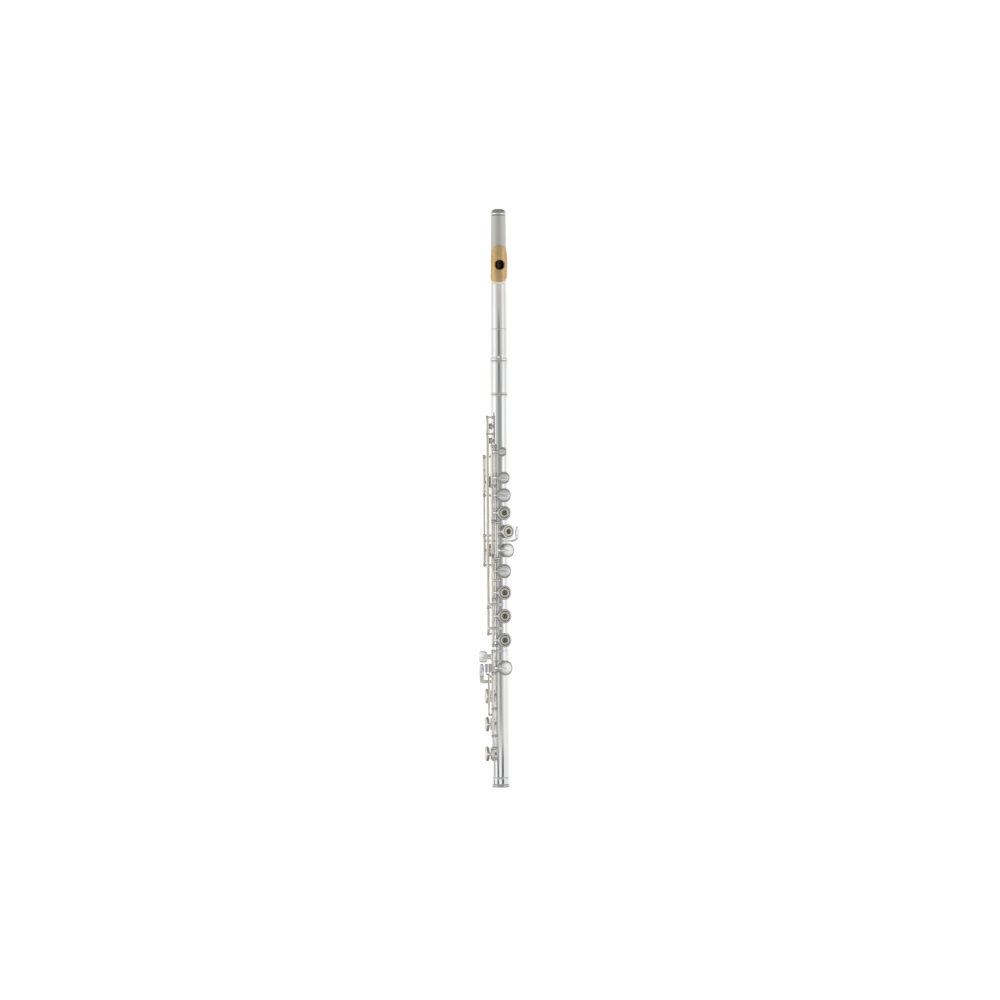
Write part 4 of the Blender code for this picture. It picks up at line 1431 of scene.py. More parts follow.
@dataclass
class HeadJoint:
    """The headjoint: a tapered tube, the lip plate on its riser, the crown and the stopper."""

    workshop: Workshop
    tenon: float = 24.3
    tenon_radius: float = 9.65
    taper_start: float = 59.4
    top_radius: float = 8.9
    wall: float = 0.4
    ring_at: float = 559.3
    lip_angle: float = 16.0
    blow_height: float = 137.1
    blow_across: float = 5.4
    blow_along: float = 6.05
    blow_square: float = 0.72
    lip_length: float = 47.9
    lip_radius: float = 10.9
    lip_top: float = 14.2
    lip_wrap: float = 72.0
    lip_thickness: float = 0.8
    lip_end_share: float = 0.985
    crown_height: float = 8.2
    stations: int = 110
    sides: int = 128

    @property
    def blow_z(self) -> float:
        """The height of the blow hole up the bore."""
        return TUBE.head_base + self.blow_height

    def radius_at(self, z: float) -> float:
        """The tube's outer radius at one height.

        Args:
            z: The height up the bore.

        Returns:
            The radius, in millimetres.
        """
        start = TUBE.head_base + self.taper_start
        share = max(0.0, (z - start) / (TUBE.head_length - self.taper_start))
        lower = TUBE.outside - 0.1
        return lower + (self.top_radius - lower) * share

    def tube_tree(self) -> tuple[bpy.types.NodeTree, dict[str, str]]:
        """Builds the node tree of a thin tapered tube.

        Returns:
            The tree, and the identifier of each named input.
        """
        lengths = ("Length", "Straight Length", "Tenon Length")
        radii = ("Lower Radius", "Upper Radius", "Tenon Radius", "Wall")
        inputs = dict.fromkeys((*lengths, *radii), "Float")
        inputs.update({"Stations": "Int", "Sides": "Int", "Finish": "Material"})
        tree, keys = tree_with("tapered_tube", inputs)
        graph = Graph(tree)
        given = graph.node("NodeGroupInput").outputs
        count = graph.calc("MULTIPLY", given["Stations"], 2.0)
        columns = graph.calc("ADD", count, 1.0)
        rows = graph.calc("ADD", given["Sides"], 1.0)
        inputs = {"Size X": 1.0, "Size Y": 1.0, "Vertices X": columns, "Vertices Y": rows}
        grid = graph.node("GeometryNodeMeshGrid", inputs)
        place = graph.node("GeometryNodeInputPosition").outputs[0]
        place = graph.node("ShaderNodeSeparateXYZ", {0: place}).outputs
        step = graph.calc("MULTIPLY", graph.calc("ADD", place[0], 0.5), count)
        step = graph.calc("MODULO", graph.calc("ROUND", step), count)
        turn = graph.calc("MULTIPLY", graph.calc("ADD", place[1], 0.5), 2 * math.pi)
        inside = graph.calc("GREATER_THAN", step, graph.calc("SUBTRACT", given["Stations"], 0.5))
        back = graph.calc("SUBTRACT", graph.calc("SUBTRACT", count, 1.0), step)
        order = graph.calc("MINIMUM", step, back)
        share = graph.calc("DIVIDE", order, graph.calc("SUBTRACT", given["Stations"], 1.0))
        height = graph.calc("MULTIPLY", share, given["Length"])
        lower, upper, tenon = given["Lower Radius"], given["Upper Radius"], given["Tenon Radius"]
        outer = graph.remap(height, given["Straight Length"], given["Length"], lower, upper)
        on_tenon = graph.calc("LESS_THAN", height, given["Tenon Length"])
        less = graph.calc("MULTIPLY", on_tenon, graph.calc("SUBTRACT", lower, tenon))
        radius = graph.calc("SUBTRACT", outer, less)
        bore = graph.calc("SUBTRACT", graph.calc("MINIMUM", outer, tenon), given["Wall"])
        change = graph.calc("MULTIPLY", inside, graph.calc("SUBTRACT", bore, radius))
        radius = graph.calc("ADD", radius, change)
        x = graph.calc("MULTIPLY", radius, graph.calc("COSINE", turn))
        y = graph.calc("MULTIPLY", radius, graph.calc("SINE", turn))
        point = graph.node("ShaderNodeCombineXYZ", {0: x, 1: y, 2: height}).outputs[0]
        inputs = {"Geometry": grid.outputs[0], "Position": point}
        moved = graph.node("GeometryNodeSetPosition", inputs).outputs[0]
        inputs = {"Geometry": moved, "Distance": 1e-6}
        merged = graph.node("GeometryNodeMergeByDistance", inputs).outputs[0]
        graph.dress(merged, given["Finish"])
        return tree, keys

    def make_tube(self) -> None:
        """Makes the tapered tube, with the blow hole cut through it and the ring that circles it."""
        tree, keys = self.tube_tree()
        host = bpy.data.objects.new("head_shell", bpy.data.meshes.new("head_shell"))
        self.workshop.shelf.objects.link(host)
        modifier = host.modifiers.new("tube", "NODES")
        modifier.node_group = tree
        sizes = {
            "Length": TUBE.head_length,
            "Straight Length": self.taper_start,
            "Lower Radius": TUBE.outside - 0.1,
            "Upper Radius": self.top_radius,
            "Tenon Length": self.tenon,
            "Tenon Radius": self.tenon_radius,
            "Wall": self.wall,
        }
        for name, value in sizes.items():
            modifier[keys[name]] = value * MM
        modifier[keys["Stations"]] = self.stations
        modifier[keys["Sides"]] = self.sides
        modifier[keys["Finish"]] = HEAD_SILVER.material()
        made = self.workshop.settle(host)
        shape = bmesh.new()
        shape.from_mesh(made.data)
        bmesh.ops.translate(shape, verts=shape.verts, vec=Vector((0, 0, TUBE.head_base * MM)))
        bmesh.ops.recalc_face_normals(shape, faces=shape.faces)
        shape.to_mesh(made.data)
        shape.free()
        made = self.workshop.carve(made, [self.blow_cutter()])
        line_bore(made, self.tenon_radius - self.wall + 0.02, BORE)
        self.workshop.finish(made, HEAD_SILVER, "head", ["head_tube"])
        z, radius = self.ring_at, self.radius_at(self.ring_at)
        inner, outer = radius - 0.1, radius + 0.32
        corners = [(inner, z - 1.1, 0.05), (outer, z - 0.9, 0.35), (outer, z + 0.9, 0.35)]
        ring = turned(rounded([*corners, (inner, z + 1.1, 0.05)]), 96, closed=True)
        self.workshop.piece("head_ring", [ring], HEAD_SILVER, "head")

    def blow_cutter(self) -> Mesh:
        """Makes the oval cutter of the blow hole.

        Returns:
            A closed mesh in metres.
        """
        frame = radial_frame(self.lip_angle, self.blow_z)
        rings = []
        for height in (3.0, self.lip_top + 3):
            ring = []
            for i in range(64):
                turn = 2 * math.pi * (i + 0.5) / 64
                x, y = oval(turn, self.blow_across, self.blow_along, self.blow_square)
                ring.append(frame @ Vector((x, y, height)))
            rings.append(ring)
        return skin(rings)

    def make_lip(self) -> None:
        """Makes the lip plate and the riser that carries it."""
        centre = self.lip_top - self.lip_radius
        across, stations = 36, 56
        rings = []
        for step in range(-stations, stations + 1):
            share = math.sin(step / stations * math.pi / 2) * self.lip_end_share
            z = self.blow_z + share * self.lip_length / 2
            outer, inner = [], []
            for i in range(-across, across + 1):
                power = 2.6 if i < 0 else (4.0 if share > 0 else 12.0)
                wrap = self.lip_wrap * (1 - abs(share) ** power) ** 0.5
                turn = math.radians(wrap * i / across)
                edge = max(abs(i / across) ** 8, abs(share) ** 14)
                thick = self.lip_thickness * (1 - 0.55 * edge)
                radius = self.lip_radius - 0.18 * edge
                for ring, reach in ((outer, radius), (inner, radius - thick)):
                    side, height = reach * math.sin(turn), centre + reach * math.cos(turn)
                    ring.append(spot(self.lip_angle, side, height, z))
            rings.append(outer + inner[::-1])
        cutters = [self.blow_cutter()]
        self.workshop.piece("lip_plate_gold", [skin(rings)], GOLD, "head", ["lip_plate"], cutters)
        edge = []
        for i in range(-34, 48):
            share = math.sin(i / 48 * math.pi / 2)
            half = self.lip_end_share * self.lip_length / 2
            half *= (1 - share**2) ** (1 / (2.6 if i < 0 else 12.0))
            turn = math.radians(self.lip_wrap * share)
            low = self.blow_z - half + 1.25
            section = []
            for corner in range(12):
                around = math.pi * corner / 6
                radius = self.lip_radius - 0.12 + 0.36 * math.cos(around)
                side, height = radius * math.sin(turn), centre + radius * math.cos(turn)
                section.append(spot(self.lip_angle, side, height, low + 1.4 * math.sin(around)))
            edge.append(section)
        # The edge is paler and glows: a painted highlight along its bevel.
        self.workshop.piece("lip_plate_edge", [skin(edge)], PALE_GOLD_PAINTED_HIGHLIGHT, "head")
        frame = radial_frame(self.lip_angle, self.blow_z)
        radius = self.radius_at(self.blow_z)
        wall, under = 1.5, self.lip_top - self.lip_thickness - 0.35
        riser = chimney(frame, self.blow_across, self.blow_along, wall, under, radius, 0.0)
        self.workshop.piece("lip_riser_gold", [riser], GOLD, "head", ["lip_riser"])

    def make_crown(self) -> None:
        """Makes the crown with its bead and the shallow ring on its cap."""
        top = TUBE.head_base + TUBE.head_length
        low, rim, peak = top + 0.3, self.top_radius + 0.5, top + self.crown_height
        corners = [(0.0, top + 5.6, 0), (2.0, top + 5.6, 0.1), (2.0, low, 0.1), (rim - 0.7, low, 0.3)]
        corners += [(rim, low + 0.7, 0.6), (rim, low + 3.1, 0.6), (rim - 0.55, low + 3.9, 0.3)]
        corners += [(rim - 0.7, low + 4.3, 0.3), (rim * 0.86, top + 6.6, 1.4)]
        corners += [(rim * 0.55, peak - 0.25, 1.0), (rim * 0.5, peak - 0.1, 0.1)]
        corners += [(rim * 0.46, peak - 0.3, 0.1), (0.0, peak - 0.02, 0)]
        shape = turned(rounded(corners, 6, closed=False), 96)
        self.workshop.piece("crown_cap", [shape], SILVER, "crown", ["crown"])

    def make_stopper(self) -> None:
        """Makes the plate, cork and screw inside the head."""
        for node, finish, name in (
            ("stopper_plate", STEEL, "stopper_disc"),
            ("stopper_cork", CORK, "stopper_plug"),
            ("stopper_screw", STEEL, "stopper_spindle"),
        ):
            low, high = (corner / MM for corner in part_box(node))
            radius = high.x
            if node == "stopper_cork":
                corners = [(1.8, low.z, 0.2), (radius, low.z, 0.6)]
                corners += [(radius, high.z, 0.6), (1.8, high.z, 0.2)]
                shape = turned(rounded(corners), 64, closed=True)
            else:
                corners = [(0.0, low.z, 0), (radius, low.z, 0.3), (radius, high.z, 0.3), (0.0, high.z, 0)]
                shape = turned(rounded(corners, closed=False), 64)
            self.workshop.piece(name, [shape], finish, "stopper", [node])

    def make(self) -> None:
        """Makes every piece of the head."""
        self.make_tube()
        self.make_lip()
        self.make_crown()
        self.make_stopper()


def line_bore(made: bpy.types.Object, radius: float, finish: Finish) -> None:
    """Gives the faces inside a tube a finish of their own: the tarnish of a bore that is seldom cleaned,
    with a painted glow where the finish carries one.

    Args:
        made: The tube.
        radius: Faces no further from the axis than this are inside.
        finish: What those faces are finished in.
    """
    data = made.data
    if not data.materials:
        data.materials.append(SILVER.material())
    data.materials.append(finish.material())
    last = len(data.materials) - 1
    for face in data.polygons:
        middle, normal = face.center, face.normal
        if math.hypot(middle.x, middle.y) <= radius * MM and middle.x * normal.x + middle.y * normal.y < 0:
            face.material_index = last


def holed(
    workshop: Workshop, made: bpy.types.Object, cups: Sequence[Cup], body: str, node: str
) -> None:
    """Cuts a tube's tone holes, finishes it, and sets a chimney round each hole.

    Args:
        workshop: Where pieces are made.
        made: The plain tube.
        cups: The cups that lie over its tone holes.
        body: The body that it rides on.
        node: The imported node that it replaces.
    """
    cutters = [drum(cup.hole + 0.1, 4, 12, 48, cup.frame()) for cup in cups]
    made = workshop.carve(made, cutters)
    # The bore seen through the tone holes takes an olive tarnish with a painted glow.
    line_bore(made, TUBE.bore + 0.02, BORE_WITH_PAINTED_GLOW)
    workshop.finish(made, SILVER, body, [node])
    walls = []
    for cup in cups:
        opening = (cup.hole, cup.hole, TUBE.chimney_wall)
        walls.append(chimney(cup.frame(), *opening, TUBE.chimney_top, TUBE.outside, 0.12))
    workshop.piece(body + "_chimneys", walls, SILVER, body)


# ---- body


@dataclass
class BodyJoint:
    """The body: its tube with the tone holes, the barrel, the straps, posts and steels."""

    workshop: Workshop
    scatter: Scatter
    cups: Sequence[Cup]
    main: Line
    g_line: Line
    trill: Line
    thumb: Line
    main_posts: tuple[float, ...] = (173.5, 230.0, 276.0, 325.0, 368.0, 416.5)
    g_posts: tuple[float, ...] = (279.5, 323.5)
    trill_posts: tuple[float, ...] = (187.6, 219.6, 431.5, 451.8)
    thumb_posts: tuple[float, ...] = (271.5, 307.5, 356.5, 404.0)
    barrel_base: float = 477.9
    barrel_length: float = 46.5

    def make_tube(self) -> None:
        """Makes the tube, the tone holes through it and the chimneys round them."""
        low, high = TUBE.body_base, TUBE.body_top
        corners = [(TUBE.bore, low, 0.1), (TUBE.outside, low, 0.15)]
        corners += [(TUBE.outside, high, 0.15), (TUBE.bore, high, 0.1)]
        made = self.workshop.thing("body_shell", [turned(rounded(corners, 2), 128, closed=True)])
        holed(self.workshop, made, self.cups, "body", "body_tube")

    def make_barrel(self) -> None:
        """Makes the barrel with a bead at each end."""
        seat, socket = TUBE.outside + TUBE.slip, 9.8
        outside, base, top = seat + 0.35, self.barrel_base, self.barrel_base + self.barrel_length
        bead = outside + 0.45
        line, stop = outside + 0.15, TUBE.body_top + TUBE.slip
        corners = [(seat, base, 0.1), (bead - 0.15, base, 0.2), (bead, base + 0.5, 0.4)]
        corners += [(bead, base + 1.5, 0.4), (outside, base + 2.1, 0.3), (outside, base + 3.0, 0.2)]
        corners += [(line, base + 3.2, 0.1), (line, base + 3.7, 0.1), (outside, base + 3.9, 0.2)]
        corners += [(outside, top - 5.1, 0.2), (line, top - 4.9, 0.1), (line, top - 4.4, 0.1)]
        corners += [(outside, top - 4.2, 0.2), (outside, top - 3.5, 0.3), (bead, top - 2.9, 0.5)]
        corners += [(bead, top - 0.5, 0.5), (bead - 0.3, top, 0.2), (socket, top, 0.1)]
        corners += [(socket, stop, 0.05), (seat, stop, 0.05)]
        shape = turned(rounded(corners, 5), 128, closed=True)
        self.workshop.piece("barrel_sleeve", [shape], SILVER, "body", ["barrel"])

    def make_straps(self) -> None:
        """Makes the straps that the posts stand on."""
        rib, thick = TUBE.rib, TUBE.rib_thickness
        low, neck = self.main_posts[0] - 4, self.main_posts[-1] - 2
        high = self.trill_posts[-1] + 6
        shapes = [strap((49.0, 86.0), [(low, rib), (neck, rib)], thick)]
        shapes.append(strap((62.0, 75.0), [(neck - 2, rib), (high - 1.2, rib), (high, rib)], thick))
        shapes.append(strap((49.0, 75.0), [(neck - 4, rib), (neck + 5, rib)], thick))
        shapes += [strap((28.0, 52.0), [(z - 2.2, rib), (z + 2.2, rib)], thick) for z in self.g_posts]
        self.workshop.piece("main_strap", shapes, SILVER, "body", ["main_rib"])
        ends = (self.thumb_posts[0] - 4, self.thumb_posts[-1] + 4)
        shape = strap((92.0, 110.0), [(ends[0], rib), (ends[1], rib)], thick)
        self.workshop.piece("thumb_strap", [shape], SILVER, "body", ["thumb_rib"])

    def make_posts(self) -> None:
        """Makes the posts and the steels that run through them."""
        main, last = self.main_posts[3], self.main_posts[-1]
        steels = (
            ("lower_steel", self.main, self.main_posts[0] - 2, main - 0.2),
            ("upper_steel", self.main, main + 0.2, last + 2),
            ("g_steel", self.g_line, self.g_posts[0] - 2, self.g_posts[-1] + 2),
            ("thumb_steel", self.thumb, self.thumb_posts[0] - 2, self.thumb_posts[-1] + 2),
        )
        for node, line, low, high in steels:
            self.workshop.piece(node + "_ground", [rod(line, low, high)], STEEL, "body", [node])
        rows = (("main", self.main, self.main_posts), ("offset", self.g_line, self.g_posts))
        rows += (("trill", self.trill, self.trill_posts), ("thumb", self.thumb, self.thumb_posts))
        for name, line, heights in rows:
            Posts(line, heights, "body", name).make(self.workshop, self.scatter)

    def make(self) -> None:
        """Makes every piece of the body that doesn't move."""
        self.make_tube()
        self.make_barrel()
        self.make_straps()
        self.make_posts()


@dataclass
class BodyKeys:
    """The keys that turn on the body."""

    workshop: Workshop
    joint: BodyJoint
    cups: dict[str, Cup] = field(default_factory=dict)
    touch_thickness: float = 1.6
    trill_lift: float = 6.45
    shake_lift: float = 4.6
    leaf_reach: float = 21.0
    leaf_facing: float = -8.0
    touch_facing: float = 40.0
    open_stand: float = -9.0
    thumb_stand: float = 6.0
    thumb_touches: tuple[float, float] = (142.0, 160.0)
    main_splits: tuple[float, ...] = (201.5, 256.5, 348.5)
    thumb_splits: tuple[float, ...] = (386.9,)

    def touch(
        self, line: Line, across: float, out: float, z: float, width: float, length: float
    ) -> Mesh:
        """Makes a touch beside a hinge line, facing the player's fingers."""
        centre = line.beside(TOUCH_ANGLE, across, out, z)
        return leaf(centre, width, length, self.touch_thickness - 0.35, self.touch_facing, 3.0, 0.25)

    def trill_touch(self, z: float) -> list[Mesh]:
        """Makes the arm and touch of a trill key at one height.

        Args:
            z: The height up the bore.

        Returns:
            The arm and the touch.
        """
        line = self.joint.trill
        route = ((-0.2, 1.2), (-1.4, 5.2), (-4.0, self.trill_lift), (-12.6, self.trill_lift))
        points = [line.beside(TOUCH_ANGLE, across, out, z) for across, out in route]
        arm = strip(points, (3.2, 3.0, 2.6, 2.4), ARM_THICKNESS, UP)
        return [arm, self.touch(line, -14.9, self.trill_lift, z, 8.2, 4.6)]

    def shake_lever(self) -> list[Mesh]:
        """Makes the long lever over the F sharp key and its narrow touch.

        Returns:
            The lever and the touch.
        """
        line, z = self.joint.main, self.joint.main_posts[2]
        touch_z = (self.cups["f"].z + self.cups["f_sharp"].z) / 2 + 1.8
        route = ((0.2, 0.8, z + 9), (0.0, self.shake_lift, z + 3), (-0.8, self.shake_lift, touch_z - 1.0))
        points = [line.beside(TOUCH_ANGLE, *place) for place in route]
        lever = strip(points, (3.0, 2.4, 2.4), ARM_THICKNESS, spot(TOUCH_ANGLE, 1, 0, 0))
        return [lever, self.touch(line, -4.0, self.shake_lift, touch_z, 8.4, 3.2)]

    def g_sharp_lever(self) -> list[Mesh]:
        """Makes the arm that passes between the two G cups, and the leaf for the little finger.

        Returns:
            The arm and the leaf.
        """
        line = self.joint.thumb
        z = (self.cups["g_lower"].z + self.cups["g_upper"].z) / 2 + 0.15
        radius = TUBE.chimney_top + 1.3
        arc = [(line.angle - 1.6, line.radius - 1.4), (90.0, radius + 1.2)]
        arc += [(float(angle), radius) for angle in range(77, -50, -14)]
        points = [spot(angle, 0, distance, z) for angle, distance in arc]
        reach = self.leaf_reach
        points += [spot(TOUCH_ANGLE, -reach + 2.8, 4.6, z + 0.6), spot(TOUCH_ANGLE, -reach, 4.5, z + 3.4)]
        arm = strip(points, [3.2] + [2.6] * (len(points) - 2) + [3.0], ARM_THICKNESS, UP)
        centre = spot(TOUCH_ANGLE, -reach, 4.5, z + 9.4)
        return [arm, leaf(centre, 5.0, 15.6, self.touch_thickness - 0.45, self.leaf_facing, 2.2, 0.3)]

    def thumb_wing(self, z: float, radius: float, along: float) -> list[Mesh]:
        """Makes a thumb touch and the arm that wraps round the back to it.

        Args:
            z: Its height up the bore.
            radius: How far its touch stands from the axis.
            along: The length of its touch.

        Returns:
            The arm and the touch.
        """
        line = self.joint.thumb
        start, end, middle = line.angle + 3, self.thumb_touches[1], sum(self.thumb_touches) / 2
        points = []
        for i in range(6):
            angle, distance = start + (end - start) * i / 5, line.radius + (radius - line.radius) * i / 5
            points.append(spot(angle, 0, distance, z))
        centre = spot(middle, 0, radius, z)
        arm = strip(points, [3.4] * 6, ARM_THICKNESS, UP)
        return [arm, leaf(centre, 11.0, along, self.touch_thickness - 0.25, middle, 3.0, 0.12)]

    def make(self) -> None:
        """Makes every key of the body."""
        joint, cups, stand = self.joint, self.cups, self.open_stand
        d, e, f, f_sharp, shake, a, b_flat, c = spans(joint.main_posts, self.main_splits)
        (g,) = spans(joint.g_posts)
        lower_trill, middle_trill, upper_trill = spans(joint.trill_posts)
        g_sharp, _, thumb_b, thumb_flat = spans(joint.thumb_posts, self.thumb_splits)
        main, thumb, trill = joint.main, joint.thumb, joint.trill
        plans = [
            Key("c_key_metal", "c_key", "c", main, c, [cups["c"], cups["c_sharp"]], stand),
            Key("b_flat_key_metal", "b_flat_key", "b_flat", main, b_flat, [cups["b_flat"]], stand),
            Key("a_key_metal", "a_key", "a", main, a, [cups["a"]], stand),
            Key("g_key_metal", "g_key", "g", joint.g_line, g, [cups["g_upper"], cups["g_lower"]], stand),
            Key("f_sharp_key_metal", "f_sharp_key", "f_sharp", main, f_sharp, [cups["f_sharp"]], stand),
            Key("f_key_metal", "f_key", "f", main, f, [cups["f"]], stand),
            Key("e_key_metal", "e_key", "e", main, e, [cups["e"]], stand),
            Key("d_key_metal", "d_key", "d", main, d, [cups["d"]], stand),
            Key("g_sharp_key_metal", "g_sharp_key", "g_sharp", thumb, g_sharp, [cups["g_sharp"]]),
            Key("shake_lever_metal", "b_flat_shake_lever", "shake", main, shake, extras=self.shake_lever()),
        ]
        plans[8].extras = self.g_sharp_lever()
        wing = self.thumb_wing(cups["thumb_b"].z + 12.4, 19.2, 12.0)
        stand = self.thumb_stand
        own = [cups["thumb_b"]]
        plans.append(Key("thumb_b_metal", "thumb_b_key", "thumb_b", thumb, thumb_b, own, stand, wing))
        wing = self.thumb_wing(joint.thumb_posts[-1] - 6.5, 19.6, 11.0)
        name, node = "thumb_b_flat_metal", "thumb_b_flat_lever"
        plans.append(Key(name, node, "thumb_b_flat", thumb, thumb_flat, [], stand, wing))
        extra = self.trill_touch((cups["e"].z + cups["f"].z) / 2)
        own = [cups["d_trill"]]
        plans.append(Key("d_trill_metal", "d_trill_key", "d_trill", trill, middle_trill, own, 0.0, extra))
        extra = self.trill_touch((cups["d"].z + cups["e"].z) / 2)
        extra.append(rod(trill, joint.trill_posts[0] - 1.5, joint.trill_posts[-1] + 1.5))
        name, node, own = "d_sharp_trill_metal", "d_sharp_trill_key", [cups["d_sharp_trill"]]
        key = Key(name, node, "d_sharp_trill", trill, upper_trill, own)
        key.extras = extra + [key.tube(lower_trill)]
        plans.append(key)
        for plan in plans:
            plan.make(self.workshop)


# ---- foot


@dataclass
class FootJoint:
    """The footjoint with its keys and rollers."""

    workshop: Workshop
    scatter: Scatter
    line: Line
    posts: tuple[float, ...] = (35.0, 48.0, 63.0, 96.0, 139.6, 166.4)
    split: float = 133.4
    open_stand: float = 9.0
    touch_thickness: float = 1.35
    touch_facing: float = 46.0
    d_sharp_touch_at: float = 159.7
    rollers_at: float = 146.1
    roller_length: float = 10.4
    roller_radius: float = 1.7
    c_roller: tuple[float, float] = (7.9, 1.2)
    b_roller: tuple[float, float] = (3.7, 1.2)

    def cups(self) -> dict[str, Cup]:
        """The foot's cups by name."""
        back = {name: Cup(name + "_pad", 112.0) for name in ("foot_b", "foot_c", "foot_c_sharp")}
        return {**back, "foot_d_sharp": Cup("foot_d_sharp_pad", -6.0)}

    def make_tube(self) -> None:
        """Makes the tube with its receiver, end ring and chimneys."""
        seat = TUBE.outside + TUBE.slip
        outside, step, top = seat + 0.35, TUBE.body_base - 0.3, TUBE.foot_length
        ring = TUBE.outside + 0.55
        corners = [(TUBE.bore, 0.0, 0.2), (ring - 0.1, 0.0, 0.3), (ring, 0.8, 0.3), (ring, 2.0, 0.3)]
        corners += [(ring - 0.3, 2.5, 0.1), (ring - 0.3, 3.0, 0.1), (ring, 3.5, 0.3), (ring, 10.6, 0.3)]
        corners += [(ring - 0.1, 11.4, 0.3), (TUBE.outside, 12.0, 0.2), (TUBE.outside, step - 0.9, 0.1)]
        corners += [(outside, step - 0.2, 0.2), (outside, top - 2.0, 0.2)]
        corners += [(outside + 0.12, top - 1.6, 0.15), (outside + 0.12, top - 0.4, 0.2)]
        corners += [(outside, top, 0.1), (seat, top, 0.1), (seat, step, 0.05), (TUBE.bore, step, 0.05)]
        made = self.workshop.thing("foot_shell", [turned(rounded(corners, 4), 128, closed=True)])
        holed(self.workshop, made, list(self.cups().values()), "foot", "foot_tube")

    def make_strap(self) -> None:
        """Makes the strap, its posts and the upper steel."""
        raised = TUBE.outside + TUBE.slip + 0.35 + TUBE.rib_gap
        low = TUBE.body_base - 1.2
        stations = [(self.posts[0] - 4, TUBE.rib), (low - 2, TUBE.rib)]
        stations += [(low - 0.6, raised), (self.posts[-1] + 2.6, raised)]
        shape = strap((48.0, 60.0), stations, TUBE.rib_thickness)
        self.workshop.piece("foot_strap", [shape], SILVER, "foot", ["foot_rib"])
        steel = rod(self.line, self.posts[4] + 0.7, self.posts[-1] + 1.8)
        self.workshop.piece("foot_steel_ground", [steel], STEEL, "foot", ["foot_steel"])
        Posts(self.line, self.posts, "foot", "foot").make(self.workshop, self.scatter)

    def arm(
        self,
        route: Sequence[tuple[float, float, float]],
        widths: Sequence[float],
        side: Vector = UP,
    ) -> Mesh:
        """Makes an arm through points measured from the hinge line."""
        points = [self.line.beside(TOUCH_ANGLE, *place) for place in route]
        return strip(points, widths, ARM_THICKNESS, side)

    def touch(
        self, across: float, out: float, z: float, width: float, length: float, square: float
    ) -> Mesh:
        """Makes a touch beside the hinge line."""
        centre = self.line.beside(TOUCH_ANGLE, across, out, z)
        return leaf(centre, width, length, self.touch_thickness, self.touch_facing, square, 0.35)

    def axle(self, place: tuple[float, float], low: float) -> Mesh:
        """Makes the axle of a roller."""
        high = self.rollers_at + self.roller_length / 2 - 1.0
        frame = Matrix.Translation(self.line.beside(TOUCH_ANGLE, *place, 0))
        return drum(0.6, low, high, 20, frame)

    def roller(self, name: str, place: tuple[float, float], body: str) -> None:
        """Makes one capped roller in its rest place.

        Args:
            name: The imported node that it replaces.
            place: Where its axis lies, measured from the hinge line.
            body: The body that it rides on.
        """
        low, radius = self.rollers_at - self.roller_length / 2, self.roller_radius
        high = low + self.roller_length
        inside = high - 0.7
        corners = [(0.0, inside, 0), (0.9, inside, 0), (0.9, low, 0.1), (radius - 0.1, low, 0.25)]
        corners += [(radius, low + 0.5, 0.3), (radius, high - 0.6, 0.4)]
        corners += [(radius - 0.3, high, 0.3), (0.0, high, 0)]
        outline = rounded(corners, 5, closed=False)
        axis = Matrix.Translation(self.line.beside(TOUCH_ANGLE, *place, 0))
        shape = turned(outline, 48, self.line.turned_by(self.open_stand) @ axis)
        self.workshop.piece(name + "_turned", [shape], STEEL, body, [name])

    def key(
        self, body: str, span: tuple[float, float], stand: float, extras: Sequence[Mesh]
    ) -> Key:
        """Plans the key of one cup."""
        cup = self.cups()[body]
        return Key(body + "_metal", body + "_key", body, self.line, span, [cup], stand, extras)

    def make_keys(self) -> None:
        """Makes the four keys and the two rollers."""
        b, _, c, c_sharp, b_hub, d_sharp = spans(self.posts, (self.split,))
        stand = self.open_stand
        along = spot(TOUCH_ANGLE, 1, 0, 0)
        z = self.d_sharp_touch_at
        extras = [self.arm([(1.5, 0.5, z), (3.5, 1.1, z), (7.5, 0.5, z)], (6.0, 6.0, 6.0))]
        extras.append(self.touch(11.5, 0.5, z, 11.4, 13.7, 3.2))
        self.key("foot_d_sharp", d_sharp, 0.0, extras).make(self.workshop)
        z = self.split - 3.9
        extras = [self.arm([(1.3, -0.9, z), (5.5, -1.9, z), (12.5, -1.5, z)], (3.6, 3.6, 4.4))]
        extras.append(self.arm([(12.9, -1.5, z - 1.1), (13.5, -0.5, z + 7.5)], (4.6, 5.4), along))
        extras.append(self.touch(13.5, 0.1, z + 13.5, 6.2, 16.4, 2.6))
        self.key("foot_c_sharp", c_sharp, stand, extras).make(self.workshop)
        low, start = self.rollers_at - self.roller_length / 2 - 3.6, c[1] - 4
        route = [(1.3, 1.1, start), (5.1, 2.9, start + 2), (5.3, 2.9, z + 4.5)]
        route.append((*self.c_roller, low + 1.2))
        extras = [self.arm(route, (3.2, 2.8, 2.4, 2.4), along), self.axle(self.c_roller, low)]
        self.key("foot_c", c, stand, extras).make(self.workshop)
        hub = (b_hub[0] + b_hub[1]) / 2
        route = [(0, 1.1, hub), (1.9, 1.9, hub), (*self.b_roller, hub)]
        key = self.key("foot_b", b, stand, [])
        key.extras = [self.arm(route, (3.0, 2.8, 2.8)), self.axle(self.b_roller, hub - 1.2)]
        key.extras.append(key.tube(b_hub))
        key.extras.append(rod(self.line, self.posts[0] - 1.5, self.posts[4] + 0.3))
        key.make(self.workshop)
        self.roller("foot_c_roller", self.c_roller, "foot_c_roller")
        self.roller("foot_b_roller", self.b_roller, "foot_b_roller")

    def make(self) -> None:
        """Makes every piece of the foot."""
        self.make_tube()
        self.make_strap()
        self.make_keys()


# ---- studio


